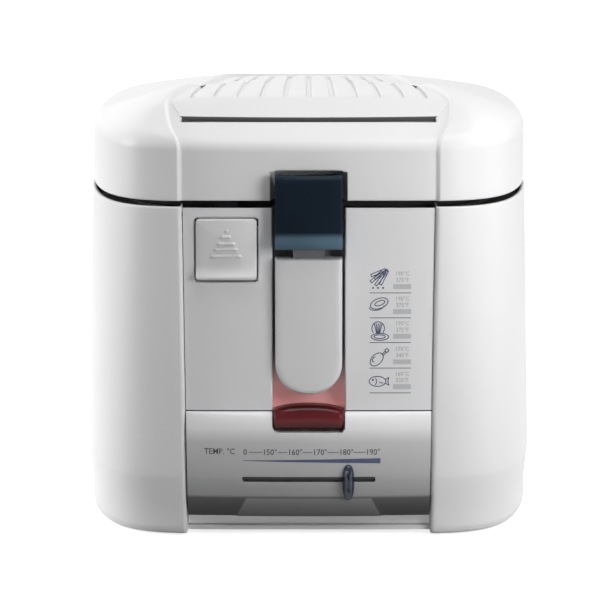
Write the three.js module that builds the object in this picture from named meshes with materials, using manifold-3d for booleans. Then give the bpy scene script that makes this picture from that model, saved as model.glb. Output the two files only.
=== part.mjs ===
// Deep fryer: a rounded plastic housing with a hinged lid, a filter in the lid, and a basket that a
// fold-down handle lifts out of the oil. Millimetres, X to the right, the front faces -Y, Z is up,
// and the origin is on the floor under the middle of the housing.

import * as THREE from 'three';
import { mergeVertices } from 'three/addons/utils/BufferGeometryUtils.js';
import Module from 'manifold-3d';

const wasm = await Module();
wasm.setup();

// ---------------------------------------------------------------- clearances
const seatGap = 0.3;                // between pieces that rest on or are fastened to each other
const runGap = 0.8;                 // round pieces that move past each other
const boreGap = 0.15;               // round a pin or a screw in its bore

// ---------------------------------------------------------------- housing
const footHeight = 1;               // the shells stand this far above the floor
const rimHeight = 191.5;            // top edge of the housing
const rimHalfWidth = 130.8;
const bellyHeight = 35;             // the housing is widest here
const bellySwell = 3.3;             // and this much wider than at its rim
const sillHeight = 15;
const sillSwell = 1.1;              // how much wider the sill is than the rim
const depthExtra = 20.4;            // the outline is this much longer than wide, front and back
const sidePower = 7.5;              // how square the outline is across its width
const frontPower = 2;               // and along its depth
const ringSpread = 0.6;             // spreads the outline's points evenly along its sides
const shellWall = 2.4;
const bottomRound = 2;
const seamTopHalfWidth = 72.5;      // seam between the centre panel and the side shells
const seamFootHalfWidth = 70;
const seamLap = 7;                  // the centre panels reach this far behind the side shells
const seamChamfer = 2.6;

// ---------------------------------------------------------------- control panel
const panelWall = 2.4;
const panelFoot = 12.3;
const panelTall = 61;
const panelProud = 2.5;             // its ends stand out this far from the centre panel
const panelBulge = 4;               // and its middle this much further
const panelRoll = 14;               // height of the rolled top edge
const panelCreaseRise = 11.2;       // the flat face starts this far above the panel's foot
const panelRake = 0.2;              // share of its depth that the face loses down to the crease
const panelTuck = 0.25;             // share of its depth that is left at the foot

// ---------------------------------------------------------------- lamp and slider
const slotHeight = 34.5;
const slotHalfLength = 38.2;
const slotWidth = 2.4;
const knobAt = 22.8;                // the slider stands at this X
const knobWidth = 6.7;
const knobTall = 20.3;
const knobDrop = 0.75;              // the knob's middle lies this far below the slot
const knobProud = 5.8;              // it stands out this far from the panel's face
const lampHalfWidth = 20.3;
const lampTall = 15.1;
const lampRise = 4.2;               // the lens reaches this far above the control panel
const lampProud = 0.8;
const lampRound = 3;
const lampWall = 2;

// ---------------------------------------------------------------- release button and latch
const buttonLeft = -64.5;
const buttonWide = 34.8;
const buttonDrop = 7;                // the button's top below the rim
const buttonTall = 35;
const buttonThick = 5;
const buttonLip = 3.5;              // the finger lip stands out this far
const buttonLipTall = 6.5;
const boltThick = 3;
const boltWidth = 12;
const boltFootTall = 8;
const boltFootRise = 11;            // the bolt's foot stands this far above the button's foot
const catchReach = 5;               // how far the lid's catch hangs below the rim
const catchThick = 2.5;

// ---------------------------------------------------------------- basket handle
const pivotBack = 4.2;              // handle axis behind the front of the rim
const pivotRise = 8;                // and above the rim
const gripHalfWidth = 19.2;
const gripFoot = 83.4;
const gripGap = 5.8;                 // between the cursor's foot and the grip's pad
const gripFront = 8;                // grip's front face ahead of the axis
const gripBack = 5;                 // and its inner face behind it
const armHalfWidth = 9;
const hubRadius = 5.5;
const cursorDrop = 23.5;             // the cursor's foot below the rim
const cursorFront = 10;             // the cursor's front face ahead of the axis
const cursorWall = 2.2;
const cursorCrown = 10.4;           // its top above the axis
const cursorRound = 4.5;
const cursorLip = 2.5;              // its finger lip stands out this far
const cursorLipTall = 6.7;
const cursorTravel = 4;
const earThick = 3;
const pinRadius = 2;
const channelDepth = 11;            // the hollow behind the grip, measured from the axis

// ---------------------------------------------------------------- lid
const lidGapHeight = 3.2;           // open line between the housing and the lid
const lidTall = 58.8;               // from its foot to the crown
const lidFrontDrop = 24.2;           // top of its front face, below the crown
const lidBackDrop = 17.5;           // and of its back
const lidCreaseDrop = 1.8;          // the sloping front starts this far below the crown
const lidCreaseBack = 47.5;         // and this far behind the front face
const lidDome = 1.6;                // how evenly the sides and back fall away
const lidFrontDome = 5.9;           // the front corners stay this much flatter
const lidWall = 2.4;
const lidRound = 5;
const lidInset = 0.8;               // the lid is this much smaller than the rim
const lidStep = 2.5;                // the lid's centre section lies this far below its sides
const hingeRise = 6.5;              // hinge axis above the rim
const hingeBack = 8;                // and behind it
const hingeRadius = 4;
const hingePin = 1.5;
const hingeAt = 45;
const hingeWidth = 26;
const knuckleGap = 0.4;
const knuckleWide = 6;
const hingeLeafThick = 3;
const screwRadius = 1.6;

// ---------------------------------------------------------------- filter in the lid
const coverHalfWidth = 80.3;
const coverBack = 84;               // its rear edge behind the middle
const coverBackHalfWidth = 52;
const coverShoulder = 15;           // it is widest this far behind its front edge
const coverFrontInset = 6.3;        // the front edge ends this far inside the widest places
const coverWall = 2.4;
const coverGap = 0.8;
const ribCount = 11;
const ribSlotWidth = 3;
const ribPitch = 13.5;              // between the ribs at the crease
const ribTaper = 0.87;              // and this share of it at the back
const ventInset = 23.4;             // front edge of the long slot behind the lid's front face
const ventWidth = 2.5;
const ventSpread = 2.5;             // the slot is this much wider at its ends
const trayDrop = 24;                // the tray's foot below the lid's crown
const trayWall = 1.8;
const trayLedge = 4;                // the tray's edge lies this far inside the cover's
const filterThick = 8;

// ---------------------------------------------------------------- bowl, basket and heater
const bowlLand = 28;                // from the rim to the bowl's opening at the sides
const bowlFrontLand = 29;           // and at the front and back
const bowlTaper = 14;               // the bowl's floor is this much smaller across
const bowlDepthTaper = 16;          // and along its depth
const bowlFoot = 63;
const bowlWall = 1.6;
const bowlFlange = 9;
const bowlRound = 14;
const basketSideGap = 12;           // between the basket and the bowl's floor outline
const basketEndGap = 20;
const basketTaper = 5;
const basketLift = 8;               // the basket hangs this far above the bowl's floor
const basketTall = 66;
const basketRimTall = 3;
const basketRimGrow = 1.2;
const wireThick = 2;
const wirePitch = 26;
const heaterTube = 6.5;
const heaterEdge = 28;              // from the bowl's floor outline in to the heater's loop

// ---------------------------------------------------------------- sizes that follow
const far = 400;                                    // cutters reach this far past the part
const rimHalfDepth = rimHalfWidth + depthExtra;
const bellyHalfWidth = rimHalfWidth + bellySwell;
const sillHalfWidth = rimHalfWidth + sillSwell;
const panelInset = shellWall + seatGap;             // the centre panels lie behind the shells' wall
const linerInset = panelInset + panelWall + seatGap;
const panelTop = panelFoot + panelTall;
const panelCrease = panelFoot + panelCreaseRise;
const pivotY = -rimHalfDepth + pivotBack;
const pivotHeight = rimHeight + pivotRise;
const lidFoot = rimHeight + lidGapHeight;
const lidCrown = lidFoot + lidTall;
const lidCreaseHeight = lidCrown - lidCreaseDrop;
const lidFrontHeight = lidCrown - lidFrontDrop;
const lidHalfWidth = rimHalfWidth - lidInset;
const lidHalfDepth = rimHalfDepth - lidInset;
const lidCreaseY = -lidHalfDepth + lidCreaseBack;
const hingeY = rimHalfDepth + hingeBack;
const hingeHeight = rimHeight + hingeRise;
const channelHalfWidth = gripHalfWidth + 2 * runGap;
const channelBackY = pivotY + channelDepth;
const flangeTop = rimHeight - 2.2;
const collarTop = flangeTop - bowlWall - seatGap;
const bowlHalfWidth = rimHalfWidth - bowlLand;
const bowlHalfDepth = rimHalfDepth - bowlFrontLand;
const bowlFootHalfWidth = bowlHalfWidth - bowlTaper;
const bowlFootHalfDepth = bowlHalfDepth - bowlDepthTaper;
const basketHalfWidth = bowlFootHalfWidth - basketSideGap;
const basketHalfDepth = bowlFootHalfDepth - basketEndGap;
const basketFoot = bowlFoot + basketLift;
const basketTop = basketFoot + basketTall;
const buttonRight = buttonLeft + buttonWide;
const buttonTop = rimHeight - buttonDrop;
const buttonFoot = buttonTop - buttonTall;
const cursorFoot = rimHeight - cursorDrop;
const gripTop = cursorFoot - gripGap;
const buttonMiddle = (buttonLeft + buttonRight) / 2;
const boltLeft = buttonMiddle - boltWidth / 2;
const boltRight = buttonMiddle + boltWidth / 2;

// ---------------------------------------------------------------- materials
function finish(color, roughness, metalness = 0) {
  return new THREE.MeshStandardMaterial({ color, roughness, metalness });
}

const whitePlastic = finish(0xf2f2f0, 0.32);
const silverPlastic = finish(0xc4c6c8, 0.35, 0.55);
const palePlastic = finish(0xd9dadb, 0.38, 0.2);
const navyPlastic = finish(0x1b232e, 0.3);
const darkPlastic = finish(0x2c2d2f, 0.6);
const redLens = finish(0x7d0f18, 0.12);
const rubber = finish(0x1f1f20, 0.85);
const steel = finish(0xb9bbbd, 0.28, 1);
const darkSteel = finish(0x7c7d80, 0.45, 1);
const charcoal = finish(0x232323, 0.95);
const glassClear = finish(0xe9dccd, 0.1);

// ---------------------------------------------------------------- solids
const object = new THREE.Group();

function solidOf(geometry) {
  const bare = geometry.clone();
  bare.deleteAttribute('normal');
  bare.deleteAttribute('uv');
  const merged = mergeVertices(bare, 1e-4);
  const mesh = new wasm.Mesh({
    numProp: 3,
    vertProperties: Float32Array.from(merged.attributes.position.array),
    triVerts: Uint32Array.from(merged.index.array),
  });
  return new wasm.Manifold(mesh);
}

function geometryOf(solid) {
  const mesh = solid.getMesh();
  const geometry = new THREE.BufferGeometry();
  geometry.setAttribute('position', new THREE.BufferAttribute(mesh.vertProperties, 3));
  geometry.setIndex(new THREE.BufferAttribute(mesh.triVerts, 1));
  geometry.computeVertexNormals();
  return geometry;
}

function addPart(name, solid, material) {
  const mesh = new THREE.Mesh(geometryOf(solid), material);
  mesh.name = name;
  object.add(mesh);
}

function joined(solids) {
  return solids.reduce((whole, next) => whole.add(next));
}

// A closed body through rings of equally many points, with flat ends.
function loft(rings) {
  const count = rings[0].length;
  const positions = rings.flat().flatMap((point) => [point.x, point.y, point.z]);
  const indices = [];
  for (let level = 0; level < rings.length - 1; level += 1) {
    for (let step = 0; step < count; step += 1) {
      const here = level * count + step;
      const beside = level * count + ((step + 1) % count);
      indices.push(here, beside, beside + count, here, beside + count, here + count);
    }
  }
  const lastStart = (rings.length - 1) * count;
  for (const [a, b, c] of capTriangles(rings[0])) indices.push(c, b, a);
  for (const [a, b, c] of capTriangles(rings.at(-1))) {
    indices.push(lastStart + a, lastStart + b, lastStart + c);
  }
  const geometry = new THREE.BufferGeometry();
  geometry.setAttribute('position', new THREE.Float32BufferAttribute(positions, 3));
  geometry.setIndex(indices);
  const solid = solidOf(geometry);
  if (solid.volume() > 0) return solid;
  geometry.setIndex(indices.toReversed());
  return solidOf(geometry);
}

// Triangles over one ring, wound the way the ring runs.
function capTriangles(ring) {
  const normal = new THREE.Vector3();
  ring.forEach((point, step) => {
    const next = ring[(step + 1) % ring.length];
    normal.add(new THREE.Vector3().crossVectors(point, next));
  });
  const dominant = ['x', 'y', 'z'].sort((p, q) => Math.abs(normal[q]) - Math.abs(normal[p]))[0];
  const [across, along] = { x: ['y', 'z'], y: ['z', 'x'], z: ['x', 'y'] }[dominant];
  const flat = ring.map((point) => new THREE.Vector2(point[across], point[along]));
  const faces = THREE.ShapeUtils.triangulateShape(flat, []);
  const [a, b, c] = faces[0].map((corner) => flat[corner]);
  const faceTurn = Math.sign(b.clone().sub(a).cross(c.clone().sub(a)));
  const ringTurn = Math.sign(THREE.ShapeUtils.area(flat));
  return faceTurn === ringTurn ? faces : faces.map((face) => face.toReversed());
}

function block(x0, x1, y0, y1, z0, z1) {
  const geometry = new THREE.BoxGeometry(x1 - x0, y1 - y0, z1 - z0);
  geometry.translate((x0 + x1) / 2, (y0 + y1) / 2, (z0 + z1) / 2);
  return solidOf(geometry);
}

// A round bar between two points.
function rod(radius, from, to, steps = radius < 2 ? 10 : 16) {
  const start = new THREE.Vector3(...from);
  const end = new THREE.Vector3(...to);
  const axis = end.clone().sub(start);
  const geometry = new THREE.CylinderGeometry(radius, radius, axis.length(), steps);
  const turn = new THREE.Quaternion().setFromUnitVectors(new THREE.Vector3(0, 1, 0), axis.normalize());
  geometry.applyQuaternion(turn);
  geometry.translate(...start.add(end).multiplyScalar(0.5));
  return solidOf(geometry);
}

// A shape drawn in X and Y, raised from one height to another.
function prism(shape, low, high, curveSteps = 5) {
  const options = { depth: high - low, bevelEnabled: false, curveSegments: curveSteps };
  const geometry = new THREE.ExtrudeGeometry(shape, options);
  geometry.translate(0, 0, low);
  return solidOf(geometry);
}

// A shape drawn in X and Z, carried along Y from front to back.
function prismAlongY(shape, front, back, curveSteps = 6) {
  const options = { depth: back - front, bevelEnabled: false, curveSegments: curveSteps };
  const geometry = new THREE.ExtrudeGeometry(shape, options);
  geometry.rotateX(Math.PI / 2);
  geometry.translate(0, back, 0);
  return solidOf(geometry);
}

// A rectangle with rounded corners.
function roundedRectangle(x0, x1, y0, y1, radius) {
  const shape = new THREE.Shape();
  shape.moveTo(x0 + radius, y0);
  shape.lineTo(x1 - radius, y0);
  shape.absarc(x1 - radius, y0 + radius, radius, -Math.PI / 2, 0);
  shape.lineTo(x1, y1 - radius);
  shape.absarc(x1 - radius, y1 - radius, radius, 0, Math.PI / 2);
  shape.lineTo(x0 + radius, y1);
  shape.absarc(x0 + radius, y1 - radius, radius, Math.PI / 2, Math.PI);
  shape.lineTo(x0, y0 + radius);
  shape.absarc(x0 + radius, y0 + radius, radius, Math.PI, Math.PI * 1.5);
  return shape;
}

// ---------------------------------------------------------------- outline of housing and lid
const ringSteps = 48;

function outlinePoint(halfWidth, halfDepth, angle) {
  const across = Math.abs(Math.cos(angle)) ** ringSpread;
  const along = (1 - across ** sidePower) ** (1 / frontPower);
  return [halfWidth * across * Math.sign(Math.cos(angle)), halfDepth * along * Math.sign(Math.sin(angle))];
}

// One ring of the outline; height is a number or a function of the angle.
function outlineRing(halfWidth, halfDepth, height) {
  return Array.from({ length: ringSteps }, (_, step) => {
    const angle = (2 * Math.PI * step) / ringSteps;
    const [x, y] = outlinePoint(halfWidth, halfDepth, angle);
    return new THREE.Vector3(x, y, typeof height === 'number' ? height : height(angle));
  });
}

// Front face of the outline at a distance from the middle.
function frontAt(x, halfWidth) {
  const share = Math.min(Math.abs(x) / halfWidth, 1);
  return -(halfWidth + depthExtra) * (1 - share ** sidePower) ** (1 / frontPower);
}

const housingLevels = [
  [footHeight, sillHalfWidth - bottomRound],
  [footHeight + bottomRound / 3, sillHalfWidth - bottomRound / 3],
  [footHeight + bottomRound, sillHalfWidth],
  [sillHeight, sillHalfWidth],
  [bellyHeight - bottomRound, bellyHalfWidth - seatGap],
  [bellyHeight, bellyHalfWidth],
  [rimHeight, rimHalfWidth],
];

function halfWidthAt(z) {
  const above = housingLevels.findIndex(([level]) => level >= z);
  if (above === 0) return housingLevels[0][1];
  if (above < 0) return housingLevels.at(-1)[1];
  const [lowLevel, lowWidth] = housingLevels[above - 1];
  const [highLevel, highWidth] = housingLevels[above];
  return THREE.MathUtils.mapLinear(z, lowLevel, highLevel, lowWidth, highWidth);
}

// The housing's solid form between two heights, drawn in by an inset.
function housingForm(inset, low, high) {
  const between = housingLevels.map(([level]) => level).filter((level) => level > low && level < high);
  const rings = [low, ...between, high].map((z) => {
    const halfWidth = halfWidthAt(z) - inset;
    return outlineRing(halfWidth, halfWidth + depthExtra, z);
  });
  return loft(rings);
}

function housingShell(inset, wall, low, high) {
  return housingForm(inset, low, high).subtract(housingForm(inset + wall, low - 1, high + 1));
}

function seamAt(z) {
  return THREE.MathUtils.mapLinear(z, 0, rimHeight, seamFootHalfWidth, seamTopHalfWidth);
}

// Everything between the two seams, widened by an extra; it narrows towards the floor.
function centreWedge(extra, frontY, backY, low = -1, high = rimHeight + 1) {
  const rings = [low, high].map((z) => {
    const half = seamAt(z) + extra;
    return [[-half, frontY], [half, frontY], [half, backY], [-half, backY]]
      .map(([x, y]) => new THREE.Vector3(x, y, z));
  });
  return loft(rings);
}

// Takes the shells' front edges off at 45 degrees beside the seams.
function seamChamferCutter() {
  const levels = [-1, bellyHeight, rimHeight + 1];
  const rings = levels.map((z) => {
    const half = seamAt(z);
    const front = frontAt(half, halfWidthAt(z));
    const side = [[half, front + seamChamfer], [half + 2 * seamChamfer, front - seamChamfer],
      [half + 2 * seamChamfer, -far]];
    const mirrored = side.map(([x, y]) => [-x, y]).reverse();
    return [...side, ...mirrored].map(([x, y]) => new THREE.Vector3(x, y, z));
  });
  return loft(rings);
}

function sideShells() {
  const shell = housingShell(0, shellWall, footHeight, rimHeight)
    .subtract(centreWedge(0, -far, far))
    .subtract(seamChamferCutter());
  addPart('side_shell_left', shell.intersect(block(-far, 0, -far, far, -far, far)), whitePlastic);
  addPart('side_shell_right', shell.intersect(block(0, far, -far, far, -far, far)), whitePlastic);
}

// ---------------------------------------------------------------- centre panels
// Depth of the centre panel's outer face at a place on it.
function panelFaceAt(x, z) {
  return frontAt(x, halfWidthAt(z) - panelInset);
}

// A shape drawn in Y and Z, carried along X.
function profileAlongX(points, x0, x1) {
  return loft([x0, x1].map((x) => points.map(([y, z]) => new THREE.Vector3(x, y, z))));
}

const buttonFaceY = panelFaceAt(buttonMiddle, buttonTop);
const panelBackY = buttonFaceY + panelWall;
const buttonPivotY = panelBackY + seatGap + pinRadius;
const buttonPivotZ = buttonTop - pinRadius - runGap;
const bossHalf = pinRadius + 1.2;
const bossWide = 4;

function buttonBosses() {
  const sides = [[buttonLeft - runGap - bossWide, buttonLeft - runGap],
    [buttonRight + runGap, buttonRight + runGap + bossWide]];
  const blocks = sides.map(([x0, x1]) => block(x0, x1, panelBackY - panelWall / 2,
    buttonPivotY + bossHalf, buttonPivotZ - bossHalf, buttonPivotZ + bossHalf));
  return joined(blocks);
}

function buttonBore() {
  const reach = bossWide + runGap;
  return rod(pinRadius + boreGap, [buttonLeft - reach, buttonPivotY, buttonPivotZ],
    [buttonRight + reach, buttonPivotY, buttonPivotZ]);
}

function frontPanel() {
  const channelFoot = panelTop - panelRoll / 5;
  const wallShell = housingShell(panelInset, panelWall, footHeight + seatGap, rimHeight - runGap)
    .intersect(centreWedge(seamLap, -far, 0));
  const channelOuter = block(-channelHalfWidth - panelWall, channelHalfWidth + panelWall,
    -rimHalfDepth + panelInset + panelWall / 2, channelBackY + panelWall,
    channelFoot - panelWall, flangeTop);
  const channelInner = block(-channelHalfWidth, channelHalfWidth, -far, channelBackY, channelFoot, far);
  const buttonWindow = block(buttonLeft - runGap, buttonRight + runGap, -far, panelBackY + panelWall,
    buttonFoot - runGap, buttonTop + runGap);
  const behindPanel = block(-seamFootHalfWidth + panelWall, seamFootHalfWidth - panelWall, -far, 0,
    -far, panelTop - 3 * panelWall);
  const panel = wallShell.add(channelOuter).subtract(channelInner).subtract(buttonWindow)
    .subtract(behindPanel).add(buttonBosses()).subtract(buttonBore()).subtract(lampCutter());
  addPart('front_panel', panel, palePlastic);
}

const ventCount = 7;
const ventPitch = 12;
const ventFoot = 30;
const ventTall = 26;
const ventGap = 4;

function rearPanel() {
  const panel = housingShell(panelInset, panelWall, footHeight + seatGap, flangeTop)
    .intersect(centreWedge(seamLap, 0, far));
  const vents = Array.from({ length: ventCount }, (_, index) => {
    const x = (index - (ventCount - 1) / 2) * ventPitch;
    return block(x - ventGap / 2, x + ventGap / 2, 0, far, ventFoot, ventFoot + ventTall);
  });
  const gland = rod(glandRadius + seatGap, [glandX, 0, glandZ], [glandX, far, glandZ]);
  const bolts = hingeSides.flatMap((side) => hingeScrewPlaces(side)
    .map(([x, z]) => rod(screwRadius + boreGap, [x, 0, z], [x, far, z])));
  addPart('rear_panel', panel.subtract(joined([...vents, gland, ...bolts])), whitePlastic);
}

const glandRadius = 5;
const glandWall = 1.7;
const glandCollar = 2;              // the collar is this much larger, and as thick
const glandNeck = 4;                // the neck reaches this far inside the rear panel
const glandX = 52;
const glandZ = 62;

function cordGland() {
  const face = -panelFaceAt(glandX, glandZ - glandRadius - glandCollar);
  const collar = rod(glandRadius + glandCollar, [glandX, face + seatGap, glandZ],
    [glandX, face + seatGap + glandCollar, glandZ]);
  const neck = rod(glandRadius, [glandX, face - panelWall - glandNeck, glandZ],
    [glandX, face + glandCollar, glandZ]);
  const bore = rod(glandRadius - glandWall, [glandX, 0, glandZ], [glandX, far, glandZ]);
  addPart('cord_gland', collar.add(neck).subtract(bore), rubber);
}

// ---------------------------------------------------------------- control panel
// The panel's side view as [share of the full depth, height]: rolled top, flat face, undercut.
function controlProfile() {
  const rollSteps = 7;
  const roll = Array.from({ length: rollSteps }, (_, step) => {
    const angle = (Math.PI / 2) * ((step + 0.6) / (rollSteps - 0.4));
    return [Math.sin(angle), panelTop - panelRoll * (1 - Math.cos(angle))];
  });
  return [...roll, [1 - panelRake, panelCrease], [panelTuck, panelFoot]];
}

// How far the panel's face stands ahead of the centre panel at a share of its half width.
function controlReach(share) {
  return panelProud + panelBulge * (1 - share * share);
}

function controlForm(inset, backReach) {
  const stations = 12;
  const backLevels = housingLevels.map(([level]) => level)
    .filter((level) => level > panelFoot && level < panelTop);
  const rings = Array.from({ length: stations + 1 }, (_, index) => {
    const share = (2 * index) / stations - 1;
    const pointAt = (height, ahead) => {
      const z = THREE.MathUtils.mapLinear(height, panelFoot, panelTop, panelFoot + inset, panelTop - inset);
      const x = share * (seamAt(z) - seatGap - inset);
      return new THREE.Vector3(x, panelFaceAt(x, z) + ahead, z);
    };
    const front = controlProfile()
      .map(([depth, height]) => pointAt(height, inset - seatGap - depth * controlReach(share)));
    const back = [panelFoot, ...backLevels, panelTop].map((height) => pointAt(height, backReach));
    return [...front, ...back];
  });
  return loft(rings);
}

const lampTop = panelTop + lampRise;
const lampFoot = lampTop - lampTall;
const lampBackY = panelFaceAt(0, lampTop) + panelWall;
const lampFrontY = panelFaceAt(0, lampFoot) - controlReach(0) - lampProud;

function lampCutter() {
  const shape = roundedRectangle(-lampHalfWidth - runGap, lampHalfWidth + runGap,
    lampFoot - runGap, lampTop + runGap, lampRound + runGap);
  return prismAlongY(shape, -far, lampBackY + seatGap);
}

function controlPanel() {
  const shell = controlForm(0, -seatGap).subtract(controlForm(panelWall, panelWall));
  const slot = block(-slotHalfLength, slotHalfLength, -far, 0,
    slotHeight - slotWidth / 2, slotHeight + slotWidth / 2);
  addPart('control_panel', shell.subtract(slot).subtract(lampCutter()), silverPlastic);
}

function lampLens() {
  const shape = roundedRectangle(-lampHalfWidth, lampHalfWidth, lampFoot, lampTop, lampRound);
  const crownSteps = 10;
  const crownPower = 0.4;           // how squarely the lens bulges between its top and foot
  const middle = (lampFoot + lampTop) / 2;
  const crown = Array.from({ length: crownSteps + 1 }, (_, step) => {
    const angle = Math.PI * (step / crownSteps);
    const reach = Math.sin(angle) ** crownPower;
    return [lampBackY - (lampBackY - lampFrontY) * reach, middle + (middle - lampFoot) * Math.cos(angle)];
  });
  const lens = prismAlongY(shape, lampFrontY - 1, lampBackY)
    .intersect(profileAlongX(crown, -lampHalfWidth, lampHalfWidth));
  const hollow = block(-lampHalfWidth + lampWall, lampHalfWidth - lampWall,
    lampBackY - (lampBackY - lampFrontY) / 2, lampBackY + 1, lampFoot + lampWall, lampTop - lampWall);
  addPart('lamp_lens', lens.subtract(hollow), redLens);
}

const bulbRadius = 1.8;
const bulbInset = 6;                // the bulb is this much shorter than the lens at each end
const lampHolderDeep = 7;

function neonLamp() {
  const z = lampFoot + lampWall + bulbRadius + seatGap;
  const half = lampHalfWidth - lampWall - bulbInset;
  const bulb = rod(bulbRadius, [-half, lampBackY - bulbRadius, z], [half, lampBackY - bulbRadius, z], 12);
  const holder = block(-half, half, lampBackY - bulbRadius / 2, lampBackY + lampHolderDeep,
    z - bulbRadius, panelTop - panelRoll / 5 - panelWall - seatGap);
  addPart('neon_lamp', bulb.add(holder), glassClear);
}

// ---------------------------------------------------------------- temperature slider
const carriageHalf = 8;
const carriageHalfTall = 5;
const carriageThick = 4;
const stemHalf = 0.9;
const railHalfTall = 7;
const railDeep = 3;
const thermostatHalf = 22;
const thermostatDeep = 22;
const thermostatHalfTall = 12;

// The control panel's face below its roll.
function controlFaceAt(x, z) {
  const share = x / (seamAt(z) - seatGap);
  const depth = THREE.MathUtils.mapLinear(z, panelTop - panelRoll, panelCrease, 1, 1 - panelRake);
  return panelFaceAt(x, z) - seatGap - depth * controlReach(share);
}

function temperatureSlider() {
  const grooveHalf = slotWidth / 2 - seatGap;
  const cap = new THREE.Shape();
  cap.absellipse(knobAt, slotHeight - knobDrop, knobWidth / 2, knobTall / 2, 0, 2 * Math.PI);
  const knobBackY = controlFaceAt(0, slotHeight - knobDrop + knobTall / 2) - seatGap;
  const knobFrontY = controlFaceAt(0, slotHeight) - knobProud;
  const farEnd = slotHalfLength + carriageHalf;
  const carriageY = controlFaceAt(farEnd, slotHeight - carriageHalfTall) + panelWall + seatGap + panelRake;
  const knob = prismAlongY(cap, knobFrontY, knobBackY);
  const stem = block(knobAt - stemHalf, knobAt + stemHalf, knobBackY - 1, carriageY + 1,
    slotHeight - grooveHalf, slotHeight + grooveHalf);
  const carriage = block(knobAt - carriageHalf, knobAt + carriageHalf, carriageY, carriageY + carriageThick,
    slotHeight - carriageHalfTall, slotHeight + carriageHalfTall);
  addPart('slider_knob', joined([knob, stem, carriage]), navyPlastic);

  const railY = carriageY + carriageThick + seatGap;
  const railHalf = seamFootHalfWidth - panelWall - seatGap;
  const rail = block(-railHalf, railHalf, railY, railY + railDeep,
    slotHeight - railHalfTall, slotHeight + railHalfTall);
  const body = block(-thermostatHalf, thermostatHalf, railY + railDeep - 1,
    railY + railDeep + thermostatDeep, slotHeight - thermostatHalfTall, slotHeight + thermostatHalfTall);
  addPart('thermostat', rail.add(body), darkPlastic);
}

// ---------------------------------------------------------------- release button and latch
const buttonCrown = 1;              // its face stands this far ahead of the panel's
const buttonHollow = 4;             // its back starts this far above its foot
const lipEdge = 1.5;

function releaseButton() {
  const face = buttonFaceY - buttonCrown;
  const lip = face - buttonLip;
  const side = [[face, buttonTop], [face, buttonFoot + buttonLipTall], [lip, buttonFoot + lipEdge],
    [lip + lipEdge, buttonFoot], [face + lipEdge, buttonFoot],
    [face + buttonThick, buttonFoot + buttonHollow], [face + buttonThick, buttonTop]];
  const plate = profileAlongX(side, buttonLeft, buttonRight);
  const trunnion = rod(pinRadius, [buttonLeft - bossWide, buttonPivotY, buttonPivotZ],
    [buttonRight + bossWide, buttonPivotY, buttonPivotZ]);
  const spine = block(buttonLeft, buttonRight, face + 1, buttonPivotY, buttonPivotZ - pinRadius, buttonTop);
  addPart('release_button', plate.add(spine).add(trunnion), palePlastic);
}

const catchY = frontAt(boltLeft, lidHalfWidth - lidStep - lidWall) + 2 * seatGap;
const catchFoot = rimHeight - catchReach;
const catchLedge = 0.8;
const ledgeTall = 1.6;
const boltY = catchY + catchThick + catchLedge + runGap;
const boltTop = rimHeight - 2 * seatGap;

function latchBolt() {
  const footLow = buttonFoot + boltFootRise;
  const nosed = boltY - catchLedge;
  const blade = block(boltLeft, boltRight, boltY, boltY + boltThick, footLow, boltTop);
  const nose = block(boltLeft, boltRight, nosed, boltY + 1, catchFoot + ledgeTall + runGap, boltTop);
  const buttonBackY = buttonFaceY - buttonCrown + buttonThick;
  const foot = block(boltLeft, boltRight, buttonBackY + seatGap, boltY + 1, footLow, footLow + boltFootTall);
  addPart('latch_bolt', joined([blade, nose, foot]), darkPlastic);
}

function lidCatch() {
  const hook = block(boltLeft, boltRight, catchY, catchY + catchThick, catchFoot, linerHeight + catchReach);
  const ledge = block(boltLeft, boltRight, catchY, catchY + catchThick + catchLedge,
    catchFoot, catchFoot + ledgeTall);
  addPart('lid_catch', hook.add(ledge), darkPlastic);
}

// ---------------------------------------------------------------- basket handle
const earHalfSpan = armHalfWidth + runGap + earThick;
const gripEndTall = 14.4;           // the grip's rounded end
const gripBevel = 3;

function handleGrip() {
  const half = gripHalfWidth;
  const endTop = gripFoot + gripEndTall;
  const bow = gripEndTall / 5;
  const gripShape = new THREE.Shape();
  gripShape.moveTo(-half, gripTop);
  gripShape.lineTo(-half, endTop);
  gripShape.bezierCurveTo(-half, gripFoot + bow, -half + 2 * bow, gripFoot, 0, gripFoot);
  gripShape.bezierCurveTo(half - 2 * bow, gripFoot, half, gripFoot + bow, half, endTop);
  gripShape.lineTo(half, gripTop);
  const front = pivotY - gripFront;
  const back = pivotY + gripBack;
  const bar = prismAlongY(gripShape, front, back, 10);
  const bevel = [[front + gripBevel, gripFoot - 1], [front, gripFoot + 2 * gripBevel],
    [front, gripTop + 1], [back, gripTop + 1], [back, gripFoot - 1]];
  const rounded = bar.intersect(profileAlongX(bevel, -far, far));
  const arm = block(-armHalfWidth, armHalfWidth, pivotY - hubRadius, back, gripTop - 1, pivotHeight);
  const hub = rod(hubRadius, [-armHalfWidth, pivotY, pivotHeight], [armHalfWidth, pivotY, pivotHeight]);
  const bore = rod(pinRadius + boreGap, [-far, pivotY, pivotHeight], [far, pivotY, pivotHeight]);
  addPart('handle_grip', joined([rounded, arm, hub]).subtract(bore), silverPlastic);
}

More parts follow.
